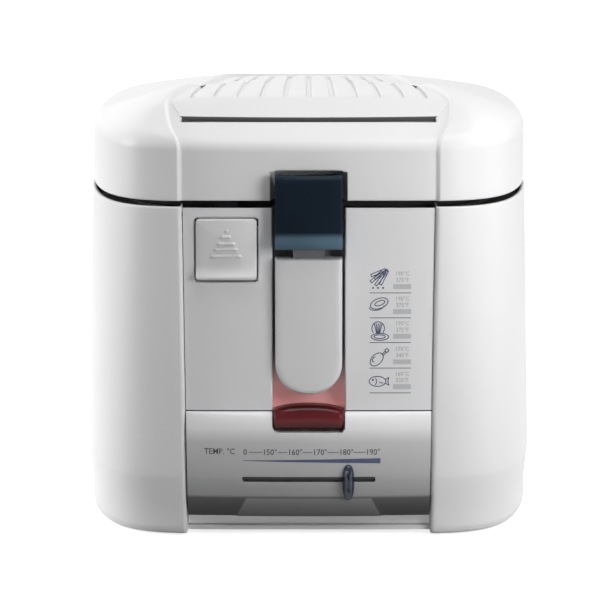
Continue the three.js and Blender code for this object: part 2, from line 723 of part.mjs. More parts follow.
function handleCursor() {
  const half = gripHalfWidth;
  const front = pivotY - cursorFront;
  const lip = front - cursorLip;
  const top = pivotHeight + cursorCrown;
  const back = pivotY + pinRadius;
  const side = [[back, top], [front + cursorRound, top],
    [front + 0.3 * cursorRound, top - 0.3 * cursorRound], [front, top - cursorRound],
    [front, cursorFoot + cursorLipTall + 2], [lip, cursorFoot + 2], [lip + 1, cursorFoot],
    [pivotY + gripBack, cursorFoot], [pivotY + gripBack, pivotHeight - hubRadius - 3],
    [back, pivotHeight - hubRadius]];
  const body = profileAlongX(side, -half, half);
  const clear = armHalfWidth + runGap;
  const earClear = earHalfSpan + runGap;
  const armTunnel = block(-clear, clear, pivotY - hubRadius - seatGap, far,
    cursorFoot - 1, top - cursorWall);
  const earTunnel = block(-earClear, earClear, front + cursorWall, far,
    pivotHeight - hubRadius - 6 - cursorTravel, top - cursorWall);
  const roofSlot = block(-earClear, earClear, pivotY - hubRadius + seatGap, far, pivotHeight, far);
  addPart('handle_cursor', body.subtract(joined([armTunnel, earTunnel, roofSlot])), navyPlastic);
}

function handlePin() {
  const reach = earHalfSpan + seatGap;
  addPart('handle_pin', rod(pinRadius, [-reach, pivotY, pivotHeight], [reach, pivotY, pivotHeight]), steel);
}

// ---------------------------------------------------------------- lift bracket and hanger
const saddleFoot = flangeTop + seatGap;
const saddleThick = 2.4;
const saddleFrontY = pivotY + gripBack + 1;
const railFrontY = -(bowlFootHalfDepth - bowlWall - 2);
const railThick = 2.4;
const railHalfWidth = 9;
const railReach = 22;               // the rail ends this far below the basket's rim
const hangerWall = 1.8;
const hangerGap = 0.5;

function liftBracket() {
  const railFoot = basketTop - railReach;
  const saddle = block(-earHalfSpan, earHalfSpan, saddleFrontY, railFrontY + railThick,
    saddleFoot, saddleFoot + saddleThick);
  const rail = block(-railHalfWidth, railHalfWidth, railFrontY, railFrontY + railThick,
    railFoot, saddleFoot + saddleThick);
  const ears = [-1, 1].map((side) => {
    const x0 = side < 0 ? -earHalfSpan : earHalfSpan - earThick;
    const lug = rod(hubRadius, [x0, pivotY, pivotHeight], [x0 + earThick, pivotY, pivotHeight]);
    const web = profileAlongX([[saddleFrontY + 4, saddleFoot], [saddleFrontY + 4, saddleFoot + saddleThick],
      [pivotY + 4, pivotHeight + 3], [pivotY - 3, pivotHeight - 4], [saddleFrontY, saddleFoot]],
    x0, x0 + earThick);
    return lug.add(web);
  });
  const bore = rod(pinRadius + boreGap, [-far, pivotY, pivotHeight], [far, pivotY, pivotHeight]);
  addPart('lift_bracket', joined([saddle, rail, ...ears]).subtract(bore), steel);
}

function basketHanger() {
  const x1 = railHalfWidth + hangerGap + hangerWall;
  const y0 = railFrontY - hangerGap - hangerWall;
  const y1 = railFrontY + railThick + hangerGap + hangerWall;
  const sleeve = block(-x1, x1, y0, y1, basketTop - railReach + 1, basketTop)
    .subtract(block(-railHalfWidth - hangerGap, railHalfWidth + hangerGap, railFrontY - hangerGap,
      railFrontY + railThick + hangerGap, 0, far));
  const tongueEndY = -basketHalfDepth - basketRimGrow - seatGap;
  const tongue = block(-x1, x1, y1 - 1, tongueEndY, basketTop - basketRimTall, basketTop);
  addPart('basket_hanger', sleeve.add(tongue), steel);
}

// ---------------------------------------------------------------- collar, base and feet
const collarThick = 2;

function topCollar() {
  const low = collarTop - collarThick;
  const halfWidth = rimHalfWidth - linerInset;
  const plate = loft([low, collarTop].map((z) => outlineRing(halfWidth, halfWidth + depthExtra, z)));
  const openingGap = bowlWall + 2;
  const opening = loft([low - 1, collarTop + 1].map((z) => (
    outlineRing(bowlHalfWidth + openingGap, bowlHalfDepth + openingGap, z))));
  const channel = block(-channelHalfWidth - panelWall - seatGap, channelHalfWidth + panelWall + seatGap,
    -far, channelBackY + panelWall + seatGap, 0, far);
  const boltSlot = block(boltLeft - seatGap, boltRight + seatGap, catchY - runGap,
    boltY + boltThick + boltTravel + 2 * runGap, 0, far);
  addPart('top_collar', plate.subtract(joined([opening, channel, boltSlot])), palePlastic);
}

const boltTravel = 2.2;
const baseThick = 2.4;
const baseFoot = footHeight + 2;
const footAtX = 92;
const footAtY = 104;
const footRadius = 10;
const screwHead = 1.6;              // a screw's head is this much larger than its shank
const postRadius = 5;
const postAtX = 48;
const postAtY = 84;
const corners = [[-1, -1], [1, -1], [-1, 1], [1, 1]];

function basePlate() {
  const plate = housingForm(linerInset, baseFoot, baseFoot + baseThick);
  const bores = corners.map(([side, end]) => (
    rod(screwRadius + boreGap, [side * footAtX, end * footAtY, 0], [side * footAtX, end * footAtY, far])));
  const posts = corners.map(([side, end]) => (
    rod(postRadius, [side * postAtX, end * postAtY, baseFoot + 1], [side * postAtX, end * postAtY, postTop])));
  addPart('base_plate', plate.subtract(joined(bores)).add(joined(posts)), darkPlastic);
}

function feetAndScrews() {
  const headFoot = 0.3;
  const headTop = 1;
  corners.forEach(([side, end], index) => {
    const at = (z) => [side * footAtX, end * footAtY, z];
    const pad = rod(footRadius, at(0), at(baseFoot - seatGap));
    const socket = rod(screwRadius + screwHead + 2 * seatGap, at(-1), at(headTop + boreGap));
    const bore = rod(screwRadius + boreGap, at(-1), at(far));
    addPart(`foot_${index + 1}`, pad.subtract(socket).subtract(bore), rubber);
    const head = rod(screwRadius + screwHead, at(headFoot), at(headTop));
    const shank = rod(screwRadius, at(headFoot + boreGap), at(baseFoot + 2 * baseThick));
    addPart(`base_screw_${index + 1}`, head.add(shank), steel);
  });
}

// ---------------------------------------------------------------- bowl and heater
const heaterHalfWidth = bowlFootHalfWidth - heaterEdge;
const heaterHalfDepth = bowlFootHalfDepth - heaterEdge - 4;
const heaterFoot = bowlFoot - bowlWall - seatGap - heaterTube;
const clampThick = 2;
const clampHalf = 7;                // half the width of the clamp's bars
const postTop = heaterFoot - clampThick - 2 * seatGap;

function bowlForm(grow, low, high) {
  const steps = 3;
  const rings = Array.from({ length: steps + 1 }, (_, step) => {
    const angle = (Math.PI / 2) * (step / steps);
    const drawnIn = bowlRound * (1 - Math.sin(angle)) - grow;
    const z = low + bowlRound * (1 - Math.cos(angle));
    return outlineRing(bowlFootHalfWidth - drawnIn, bowlFootHalfDepth - drawnIn, z);
  });
  return loft([...rings, outlineRing(bowlHalfWidth + grow, bowlHalfDepth + grow, high)]);
}

function bowl() {
  const outer = bowlForm(bowlWall, bowlFoot - bowlWall, flangeTop);
  const inner = bowlForm(0, bowlFoot, flangeTop + 1);
  const reach = bowlWall + bowlFlange;
  const flange = loft([flangeTop - bowlWall, flangeTop].map((z) => (
    outlineRing(bowlHalfWidth + reach, bowlHalfDepth + reach, z))));
  addPart('bowl', outer.add(flange).subtract(inner), darkSteel);
}

function heatingElement() {
  const z = heaterFoot + heaterTube / 2;
  const steps = 40;
  const openAngle = 0.35;           // half the gap at the loop's front, as an angle
  const points = Array.from({ length: steps + 1 }, (_, step) => {
    const angle = -Math.PI / 2 + openAngle + (2 * Math.PI - 2 * openAngle) * (step / steps);
    return new THREE.Vector3(heaterHalfWidth * Math.cos(angle), heaterHalfDepth * Math.sin(angle), z);
  });
  const section = new THREE.Shape();
  section.absarc(0, 0, heaterTube / 2, 0, 2 * Math.PI);
  const path = new THREE.CatmullRomCurve3(points);
  const tube = new THREE.ExtrudeGeometry(section, { steps, extrudePath: path, curveSegments: 4 });
  addPart('heating_element', solidOf(tube), darkSteel);
}

function heaterClamp() {
  const z = heaterFoot - seatGap;
  const bar = (x0, x1, y0, y1) => block(x0, x1, y0, y1, z - clampThick, z);
  const crossBars = [-1, 1].map((end) => bar(-postAtX - clampHalf, postAtX + clampHalf,
    end * postAtY - clampHalf, end * postAtY + clampHalf));
  const spine = bar(-clampHalf, clampHalf, -postAtY, postAtY);
  const wing = bar(-heaterHalfWidth - clampHalf / 2, heaterHalfWidth + clampHalf / 2, -clampHalf, clampHalf);
  addPart('heater_clamp', joined([...crossBars, spine, wing]), steel);
}

const cutOutRadius = 8;
const cutOutTall = 12;
const terminalHalfWidth = 24;
const terminalHalfDeep = 10;
const terminalTall = 14;
const terminalAtX = 48;
const terminalInset = 45.2;          // its middle, in from the body's back
const terminalPitch = 10;
const terminalCount = 4;
const terminalWell = 2;

function electrics() {
  const floorZ = baseFoot + baseThick + seatGap;
  const cutOutTop = heaterFoot - clampThick - 2 * seatGap;
  const cutOutX = heaterHalfWidth / 2;
  const terminalY = rimHalfDepth - terminalInset;
  addPart('thermal_cutout', rod(cutOutRadius, [cutOutX, 0, cutOutTop - cutOutTall],
    [cutOutX, 0, cutOutTop]), darkPlastic);
  const terminals = block(terminalAtX - terminalHalfWidth, terminalAtX + terminalHalfWidth,
    terminalY - terminalHalfDeep, terminalY + terminalHalfDeep, floorZ, floorZ + terminalTall);
  const wells = Array.from({ length: terminalCount }, (_, index) => {
    const x = terminalAtX + (index - (terminalCount - 1) / 2) * terminalPitch;
    return rod(terminalWell, [x, terminalY, floorZ + terminalTall / 2], [x, terminalY, far], 12);
  });
  addPart('terminal_block', terminals.subtract(joined(wells)), palePlastic);
}

// ---------------------------------------------------------------- basket
const windowRows = 1;
const windowInset = 4;              // the windows stop this far short of the basket's rim and foot

function basketRing(z, grow) {
  const share = (z - basketFoot) / basketTall;
  const drawnIn = basketTaper * (1 - share) - grow;
  const ring = outlineRing(basketHalfWidth - drawnIn, basketHalfDepth - drawnIn, z);
  return ring.filter((_, step) => step % 2 === 0);
}

// Middles of the windows along one side of the basket, a whole number of them.
function windowPlaces(half) {
  const count = Math.floor((2 * (half - 2 * wireThick - basketTaper)) / wirePitch);
  return Array.from({ length: count }, (_, index) => (index - (count - 1) / 2) * wirePitch);
}

function basket() {
  const wall = loft([basketRing(basketFoot, 0), basketRing(basketTop, 0)])
    .subtract(loft([basketRing(basketFoot + wireThick, -wireThick), basketRing(basketTop + 1, -wireThick)]));
  const rim = loft([basketTop - basketRimTall, basketTop].map((z) => basketRing(z, basketRimGrow)))
    .subtract(loft([basketTop - basketRimTall - 1, basketTop + 1].map((z) => basketRing(z, -wireThick))));
  const half = (wirePitch - wireThick) / 2;
  const rowPitch = (basketTall - windowInset) / windowRows;
  const windows = [];
  for (let row = 0; row < windowRows; row += 1) {
    const z0 = basketFoot + windowInset + row * rowPitch;
    const z1 = z0 + rowPitch - wireThick - 1;
    for (const x of windowPlaces(basketHalfWidth)) windows.push(block(x - half, x + half, -far, far, z0, z1));
    for (const y of windowPlaces(basketHalfDepth)) windows.push(block(-far, far, y - half, y + half, z0, z1));
  }
  for (const x of windowPlaces(basketHalfWidth)) {
    for (const y of windowPlaces(basketHalfDepth)) {
      windows.push(block(x - half, x + half, y - half, y + half, 0, basketFoot + wireThick + 1));
    }
  }
  addPart('basket', wall.subtract(joined(windows)).add(rim), steel);
}

// ---------------------------------------------------------------- lid
const linerHeight = rimHeight + 4.5;
const linerThick = 1.6;
const hingeSides = [-1, 1];

// Height of the lid's top at a share of the way from its middle to its edge. The sides and back are
// domed, and the front slopes down from the filter cover as one flat facet.
function lidTopAt(share, angle) {
  const [, edgeY] = outlinePoint(lidHalfWidth, lidHalfDepth, angle);
  const [, y] = outlinePoint(lidHalfWidth * share, lidHalfDepth * share, angle);
  const edgeDrop = THREE.MathUtils.mapLinear(edgeY, -lidHalfDepth, lidHalfDepth, lidFrontDrop, lidBackDrop);
  const power = lidDome + lidFrontDome * Math.max(0, -edgeY / lidHalfDepth);
  const dome = lidCrown - edgeDrop * share ** power;
  const facet = THREE.MathUtils.mapLinear(y, -lidHalfDepth, lidCreaseY, lidFrontHeight, lidCreaseHeight);
  return Math.min(dome, facet);
}

const edgeShare = 1 - lidRound / lidHalfWidth;
const creaseShare = 1 - lidCreaseBack / lidHalfDepth;
const topShares = [edgeShare, 0.88, 0.78, creaseShare, 0.4, 0.1];
const underShares = [edgeShare, 0.82, creaseShare, 0.1];    // enough where nobody looks

// The lid's solid form, drawn in and lowered by an inset.
function lidForm(inset, low, shares = underShares) {
  const ring = (drawnIn, height) => (
    outlineRing(lidHalfWidth - inset - drawnIn, lidHalfDepth - inset - drawnIn, height));
  const rings = [ring(0, low)];
  const roundSteps = 3;
  for (let step = 0; step < roundSteps; step += 1) {
    const turn = (Math.PI / 2) * (step / roundSteps);
    const drop = lidRound * (1 - Math.sin(turn)) + inset;
    rings.push(ring(lidRound * (1 - Math.cos(turn)), (angle) => lidTopAt(1, angle) - drop));
  }
  for (const share of shares) {
    rings.push(outlineRing((lidHalfWidth - inset) * share, (lidHalfDepth - inset) * share,
      (angle) => lidTopAt(share, angle) - inset));
  }
  return loft(rings);
}

// The filter cover's outline: a bowed front edge, widest just behind it, narrowing to the back.
function coverOutline(grow) {
  const half = coverHalfWidth + grow;
  const frontHalf = coverFrontHalf + grow;
  const front = coverFrontY - grow;
  const cornerY = front + ventSpread;
  const back = coverBack + grow;
  const backHalf = coverBackHalfWidth + grow;
  const waistY = THREE.MathUtils.lerp(coverWideY, back, 0.2);
  const neckY = THREE.MathUtils.lerp(coverWideY, back, 0.65);
  const round = coverBackHalfWidth / 4;
  const shape = new THREE.Shape();
  shape.moveTo(-frontHalf, cornerY);
  shape.quadraticCurveTo(0, front - ventSpread, frontHalf, cornerY);
  shape.lineTo(half, coverWideY);
  shape.bezierCurveTo(half - 2, waistY, backHalf + 6, neckY, backHalf, back - round);
  shape.quadraticCurveTo(backHalf - round / 2, back, backHalf - 2 * round, back);
  shape.lineTo(2 * round - backHalf, back);
  shape.quadraticCurveTo(round / 2 - backHalf, back, -backHalf, back - round);
  shape.bezierCurveTo(-backHalf - 6, neckY, 2 - half, waistY, -half, coverWideY);
  shape.lineTo(-frontHalf, cornerY);
  return shape;
}

// Plan of the lid's lowered centre section: the cover's seat and the strip ahead of it.
function lidStepForm() {
  const half = seamTopHalfWidth;
  const wide = coverHalfWidth + coverGap;
  const bowY = THREE.MathUtils.lerp(coverWideY, -lidHalfDepth, 0.6);
  const strip = new THREE.Shape();
  strip.moveTo(-half, -far);
  strip.lineTo(half, -far);
  strip.lineTo(half, -lidHalfDepth + lidStep);
  strip.quadraticCurveTo(wide, bowY, wide, coverWideY);
  strip.lineTo(-wide, coverWideY);
  strip.quadraticCurveTo(-wide, bowY, -half, -lidHalfDepth + lidStep);
  return prism(coverOutline(coverGap), 0, far).add(prism(strip, 0, far));
}

// Takes the lid's front corners beside its centre section off at 45 degrees.
function lidChamferCutter() {
  const front = frontAt(seamTopHalfWidth, lidHalfWidth);
  const corner = new THREE.Shape();
  corner.moveTo(seamTopHalfWidth, front + seamChamfer);
  corner.lineTo(-seamTopHalfWidth, front + seamChamfer);
  corner.lineTo(-seamTopHalfWidth - 2 * seamChamfer, front - seamChamfer);
  corner.lineTo(seamTopHalfWidth + 2 * seamChamfer, front - seamChamfer);
  return prism(corner, 0, far);
}

const ventFrontY = -lidHalfDepth + ventInset;
const coverFrontY = ventFrontY + ventWidth;
const coverWideY = coverFrontY + ventSpread + coverShoulder;
const coverFrontHalf = coverHalfWidth - coverFrontInset;
const coverSeat = lidStep + coverWall;
const lidUnder = lidStep + lidWall;
const pocketHalfWidth = channelHalfWidth;
const pocketRound = 2.6;
const cursorReach = Math.hypot(cursorFront - cursorRound, cursorCrown - cursorRound) + cursorRound;
const pocketTop = pivotHeight + cursorReach + seatGap;
const pocketBackY = pivotY + cursorReach;
const throatLedge = 6;              // the cover's seat is this wide

function lidShell() {
  const raised = lidForm(0, lidFoot, topShares).subtract(lidForm(lidUnder, lidFoot - 1));
  const seat = lidForm(coverSeat, lidFoot).subtract(lidForm(coverSeat + lidWall, lidFoot - 1))
    .intersect(prism(coverOutline(coverGap + lidWall), linerHeight + throatLedge, far));
  const shaved = lidStepForm().subtract(lidForm(lidStep, lidFoot - 1, topShares));
  const sunk = prism(coverOutline(coverGap), 0, far).subtract(lidForm(coverSeat, lidFoot - 1));
  const pocket = block(-pocketHalfWidth - lidWall, pocketHalfWidth + lidWall, -lidHalfDepth + lidStep + 1,
    pocketBackY + lidWall, lidFoot, pocketTop + lidWall);
  const mouth = roundedRectangle(-pocketHalfWidth, pocketHalfWidth, 0, pocketTop, pocketRound);
  const throat = prism(coverOutline(-throatLedge), linerHeight + throatLedge, far);
  const lugs = hingeSides.map((side) => lidLug(side));
  const shell = raised.add(seat).subtract(shaved.add(sunk)).subtract(lidChamferCutter())
    .add(pocket).subtract(prismAlongY(mouth, -far, pocketBackY, 3)).subtract(throat)
    .subtract(ventCutter()).add(joined(lugs)).subtract(hingeBore());
  addPart('lid_shell', shell, whitePlastic);
}

// The long slot ahead of the filter cover, wider at its ends.
function ventCutter() {
  const half = coverFrontHalf;
  const backY = coverFrontY + 1;
  const slot = new THREE.Shape();
  slot.moveTo(-half, ventFrontY);
  slot.lineTo(half, ventFrontY);
  slot.lineTo(half - ventSpread, backY + ventSpread);
  slot.quadraticCurveTo(0, backY - ventSpread, ventSpread - half, backY + ventSpread);
  slot.lineTo(-half, ventFrontY);
  return prism(slot, lidFrontHeight - 3 * lidRound, far, 6);
}

// ---------------------------------------------------------------- lid hinges
function hingeBore() {
  return rod(hingePin + boreGap, [-far, hingeY, hingeHeight], [far, hingeY, hingeHeight]);
}

function lidLug(side) {
  const half = hingeWidth / 2 - knuckleWide - knuckleGap;
  const x0 = side * hingeAt - half;
  const x1 = side * hingeAt + half;
  const eye = rod(hingeRadius, [x0, hingeY, hingeHeight], [x1, hingeY, hingeHeight]);
  const arm = block(x0, x1, lidHalfDepth - lidWall, hingeY, hingeHeight, hingeHeight + hingeRadius);
  return eye.add(arm);
}

const hingeLeafReach = 24;           // the leaf reaches this far below the rim
const hingeScrewDrop = 16;
const hingeScrewSpread = 7;

function hingeScrewPlaces(side) {
  return [-1, 1].map((end) => [side * hingeAt + end * hingeScrewSpread, rimHeight - hingeScrewDrop]);
}

const leafY = rimHalfDepth - panelInset + seatGap + 1;

function hingeBracket(side, name) {
  const x0 = side * hingeAt - hingeWidth / 2;
  const x1 = side * hingeAt + hingeWidth / 2;
  const leafEndY = leafY + hingeLeafThick;
  const leafTop = hingeHeight - hingeRadius - 1;
  const leaf = block(x0, x1, leafY, leafEndY, rimHeight - hingeLeafReach, leafTop - 1);
  const knuckles = [[x0, x0 + knuckleWide], [x1 - knuckleWide, x1]].map(([a, b]) => {
    const eye = rod(hingeRadius, [a, hingeY, hingeHeight], [b, hingeY, hingeHeight]);
    const arm = profileAlongX([[leafY, leafTop - 1.5 * hingeRadius], [leafEndY, leafTop - 3 * hingeRadius],
      [hingeY + hingeRadius - 0.5, hingeHeight - hingePin], [hingeY - hingeRadius / 2, hingeHeight + 1],
      [leafY, leafTop - hingePin]], a, b);
    return eye.add(arm);
  });
  const screws = hingeScrewPlaces(side)
    .map(([x, z]) => rod(screwRadius + boreGap, [x, 0, z], [x, far, z]));
  addPart(name, joined([leaf, ...knuckles]).subtract(hingeBore()).subtract(joined(screws)), whitePlastic);
}

function hinges() {
  for (const side of hingeSides) {
    const word = side < 0 ? 'left' : 'right';
    hingeBracket(side, `hinge_bracket_${word}`);
    const reach = hingeWidth / 2;
    const pin = rod(hingePin, [side * hingeAt - reach, hingeY, hingeHeight],
      [side * hingeAt + reach, hingeY, hingeHeight]);
    addPart(`hinge_pin_${word}`, pin, steel);
    hingeScrewPlaces(side).forEach(([x, z], index) => {
      const faceY = leafY + hingeLeafThick;
      const screw = rod(screwRadius, [x, faceY - 3 * hingeLeafThick, z], [x, faceY + 2 * seatGap, z])
        .add(rod(screwRadius + screwHead, [x, faceY + seatGap, z], [x, faceY + screwHead, z]));
      addPart(`hinge_screw_${word}_${index + 1}`, screw, steel);
    });
  }
}

// ---------------------------------------------------------------- inside the lid
const steamHole = 3.5;
const steamPitch = 20;
const gasketInner = 2.5;            // the gasket lies between these two distances
const gasketOuter = 7.5;            // outside the bowl's opening
const trayHole = 5;
const trayPitchX = 24;
const trayPitchY = 40;

// A grid of round holes, five across and three deep.
function holeGrid(radius, pitchX, pitchY, middleY) {
  const holes = [-1, 0, 1].flatMap((row) => [-2, -1, 0, 1, 2].map((column) => {
    const x = column * pitchX;
    const y = middleY + row * pitchY;
    return rod(radius, [x, y, 0], [x, y, far], 8);
  }));
  return joined(holes);
}

function lidLiner() {
  const inset = lidUnder + seatGap;
  const plate = loft([linerHeight, linerHeight + linerThick]
    .map((z) => outlineRing(lidHalfWidth - inset, lidHalfDepth - inset, z)));
  const pocket = block(-pocketHalfWidth - lidWall - seatGap, pocketHalfWidth + lidWall + seatGap,
    -far, pocketBackY + lidWall + seatGap, 0, far);
  const catchSlot = block(boltLeft - seatGap, boltRight + seatGap, -far, catchY + catchThick + seatGap, 0, far);
  const holes = holeGrid(steamHole, steamPitch, steamPitch, 0);
  addPart('lid_liner', plate.subtract(joined([pocket, catchSlot, holes])), steel);
}

function lidGasket() {
  const low = flangeTop + seatGap;
  const high = linerHeight - seatGap;
  const band = (grow, z0, z1) => loft([z0, z1]
    .map((z) => outlineRing(bowlHalfWidth + grow, bowlHalfDepth + grow, z)));
  const passage = block(-earHalfSpan - runGap, earHalfSpan + runGap, -far, 0, 0,
    saddleFoot + saddleThick + runGap);
  addPart('lid_gasket', band(gasketOuter, low, high).subtract(band(gasketInner, low - 1, high + 1))
    .subtract(passage), rubber);
}

function filterTray() {
  const under = lidForm(coverSeat + lidWall + seatGap, lidFoot - 1);
  const trayFoot = lidCrown - trayDrop;
  const body = prism(coverOutline(-trayLedge), trayFoot, far).intersect(under);
  const hollow = prism(coverOutline(-trayLedge - trayWall), trayFoot + trayWall, far);
  const holes = holeGrid(trayHole, trayPitchX, trayPitchY, -trayPitchY / 2);
  addPart('filter_tray', body.subtract(joined([hollow, holes])), darkPlastic);
  const padFoot = trayFoot + trayWall + seatGap;
  const pad = prism(coverOutline(-trayLedge - trayWall - runGap), padFoot, padFoot + filterThick)
    .intersect(under);
  addPart('charcoal_filter', pad, charcoal);
}

const ribMargin = 18;               // the ribs end this far ahead of the cover's rear edge

function filterCover() {
  const plate = prism(coverOutline(0), lidFoot, far).intersect(lidForm(lidStep, lidFoot, topShares))
    .subtract(lidForm(coverSeat - seatGap, lidFoot - 1));
  const ribFront = lidCreaseY + lidStep;
  const ribBack = coverBack - ribMargin;
  const steps = 3;
  const slots = Array.from({ length: ribCount }, (_, index) => {
    const place = index - (ribCount - 1) / 2;
    const middle = Array.from({ length: steps + 1 }, (__, step) => {
      const along = step / steps;
      const pitch = ribPitch * (1 - (1 - ribTaper) * along ** 1.4);
      return [place * pitch, THREE.MathUtils.lerp(ribFront, ribBack, along)];
    });
    const outline = [...middle.map(([x, y]) => new THREE.Vector2(x - ribSlotWidth / 2, y)),
      ...middle.toReversed().map(([x, y]) => new THREE.Vector2(x + ribSlotWidth / 2, y))];
    return prism(new THREE.Shape(outline), lidFoot, far);
  });
  addPart('filter_cover', plate.subtract(joined(slots)), whitePlastic);
}

// ---------------------------------------------------------------- the whole fryer
sideShells();
frontPanel();
rearPanel();
cordGland();
controlPanel();
lampLens();
neonLamp();
temperatureSlider();
releaseButton();
latchBolt();
topCollar();
basePlate();
feetAndScrews();
bowl();
heatingElement();
heaterClamp();
electrics();
liftBracket();
handlePin();
handleGrip();
handleCursor();
basketHanger();
basket();
lidShell();
hinges();
lidCatch();
lidLiner();
lidGasket();
filterTray();
filterCover();

export default object;
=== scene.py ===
import math
import bmesh
import bpy
import numpy as np
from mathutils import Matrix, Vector


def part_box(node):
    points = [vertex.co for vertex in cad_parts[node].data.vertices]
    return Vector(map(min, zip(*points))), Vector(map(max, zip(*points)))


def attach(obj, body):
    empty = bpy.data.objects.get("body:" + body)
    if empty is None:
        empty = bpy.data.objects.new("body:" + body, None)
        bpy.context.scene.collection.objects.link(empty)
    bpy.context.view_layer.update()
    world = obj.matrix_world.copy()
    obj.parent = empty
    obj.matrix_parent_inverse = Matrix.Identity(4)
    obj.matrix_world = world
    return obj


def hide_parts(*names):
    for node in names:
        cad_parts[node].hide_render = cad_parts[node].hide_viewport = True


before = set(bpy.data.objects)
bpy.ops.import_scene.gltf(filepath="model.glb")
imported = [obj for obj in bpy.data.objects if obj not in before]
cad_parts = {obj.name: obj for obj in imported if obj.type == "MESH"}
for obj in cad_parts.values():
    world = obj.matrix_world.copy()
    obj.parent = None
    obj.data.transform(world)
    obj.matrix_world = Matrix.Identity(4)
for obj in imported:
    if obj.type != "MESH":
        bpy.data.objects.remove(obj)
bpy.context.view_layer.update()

mm = 0.001  # sizes are in millimetres here and become metres when a mesh is made

# The fryer's outline seen from above, with its half width at each level.
body = {
    "rimHeight": 191.5,
    "depthExtra": 20.4,  # half depth is this much more than half width
    "sidePower": 7.5,  # squareness across, 2 along
    "cornerPower": 0.6,
    "levels": [1, 1.67, 3, 15, 25, 33, 35, 37, 191.5],
    "halves": [129.9, 131.23, 131.9, 131.9, 133.0, 133.84, 134.05, 134.04, 130.8],
    "seamTop": 72.5,  # half widths of the centre panels
    "seamFoot": 70.0,
    "panelInset": 2.7,
}


def halfWidthAt(z):
    return np.interp(z, body["levels"], body["halves"])


def seamAt(z):
    return body["seamFoot"] + (body["seamTop"] - body["seamFoot"]) * z / body["rimHeight"]


def frontAt(x, halfWidth):
    share = np.minimum(np.abs(x) / halfWidth, 1.0)
    return -(halfWidth + body["depthExtra"]) * np.sqrt(1 - share ** body["sidePower"])


def panelFace(x, z):
    return frontAt(x, halfWidthAt(z) - body["panelInset"])


def outlineAt(angle, half, halfDepth):
    across = np.abs(np.cos(angle)) ** body["cornerPower"]
    along = np.sqrt(np.maximum(1 - across ** body["sidePower"], 0))
    return half * across * np.sign(np.cos(angle)), halfDepth * along * np.sign(np.sin(angle))


# Meshes are made from lists of points and faces, then given a finish and a body.
def meshOf(name, verts, faces):
    mesh = bpy.data.meshes.new(name)
    mesh.from_pydata([tuple(float(c) * mm for c in v) for v in verts], [], faces)
    mesh.validate()
    form = bmesh.new()
    form.from_mesh(mesh)
    bmesh.ops.remove_doubles(form, verts=form.verts, dist=1e-6)
    bmesh.ops.recalc_face_normals(form, faces=form.faces)
    form.to_mesh(mesh)
    form.free()
    return mesh


def newPiece(name, verts, faces, finish, rider, sharp=32, stands=(), slot=None):
    return placePiece(name, meshOf(name, verts, faces), finish, rider, sharp, stands)


def placePiece(name, mesh, finish, rider, sharp=32, stands=()):
    piece = bpy.data.objects.new(name, mesh)
    bpy.context.scene.collection.objects.link(piece)
    smoothen(mesh, sharp)
    mesh.materials.append(finish)
    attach(piece, rider)
    if stands:
        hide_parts(*stands)
    return piece


def smoothen(mesh, sharp):
    mesh.polygons.foreach_set("use_smooth", [True] * len(mesh.polygons))
    mesh.set_sharp_from_angle(angle=math.radians(sharp))


def sheetOf(grid, closed=False):  # the grid is rows of columns of points
    rows, columns = grid.shape[:2]
    faces = []
    for row in range(rows - 1):
        for column in range(columns if closed else columns - 1):
            after = (column + 1) % columns
            faces.append((row * columns + column, row * columns + after,
                          (row + 1) * columns + after, (row + 1) * columns + column))
    return [tuple(v) for v in grid.reshape(-1, 3)], faces


def joinSheets(*sheets):
    verts, faces = [], []
    for sheetVerts, sheetFaces in sheets:
        start = len(verts)
        verts += list(sheetVerts)
        faces += [tuple(start + i for i in face) for face in sheetFaces]
    return verts, faces


def bevelled(piece, width, segments=3, angle=40):
    bevel = piece.modifiers.new("edges", "BEVEL")
    bevel.width = width * mm
    bevel.segments = segments
    bevel.limit_method = "ANGLE"
    bevel.angle_limit = math.radians(angle)
    bevel.harden_normals = True


def applyAll(piece, sharp=32):
    graph = bpy.context.evaluated_depsgraph_get()
    graph.update()
    made = bpy.data.meshes.new_from_object(piece.evaluated_get(graph))
    piece.modifiers.clear()
    piece.data = made
    smoothen(made, sharp)


def cutAway(piece, verts, faces):
    cutter = bpy.data.objects.new("cutter", meshOf("cutter", verts, faces))
    bpy.context.scene.collection.objects.link(cutter)
    cut = piece.modifiers.new("cut", "BOOLEAN")
    cut.operation = "DIFFERENCE"
    cut.solver = "EXACT"
    cut.object = cutter
    applyAll(piece)
    bpy.data.objects.remove(cutter)


def blockMesh(x0, x1, y0, y1, z0, z1):
    verts = [(x, y, z) for x in (x0, x1) for y in (y0, y1) for z in (z0, z1)]
    faces = [(0, 1, 3, 2), (4, 6, 7, 5), (0, 4, 5, 1), (2, 3, 7, 6), (0, 2, 6, 4), (1, 5, 7, 3)]
    return verts, faces


def prismAlong(axis, outline, low, high):  # carries a closed loop of pairs along one axis
    count = len(outline)
    place = {"x": lambda a, b, t: (t, a, b), "y": lambda a, b, t: (a, t, b)}[axis]
    verts = [place(a, b, t) for t in (low, high) for a, b in outline]
    faces = [tuple(range(count)), tuple(range(2 * count - 1, count - 1, -1))]
    faces += [(i, (i + 1) % count, count + (i + 1) % count, count + i) for i in range(count)]
    return verts, faces


def circle(middleA, middleB, radius, count=32):
    return [(middleA + radius * math.cos(angle), middleB + radius * math.sin(angle))
            for angle in np.linspace(0, 2 * math.pi, count + 1)[:-1]]


def spread(low, high, step):
    count = max(int(round((high - low) / step)), 1)
    return [low + (high - low) * i / count for i in range(count)]


def quarterTurn(count):
    return [math.pi / 2 * step / count for step in range(count + 1)]


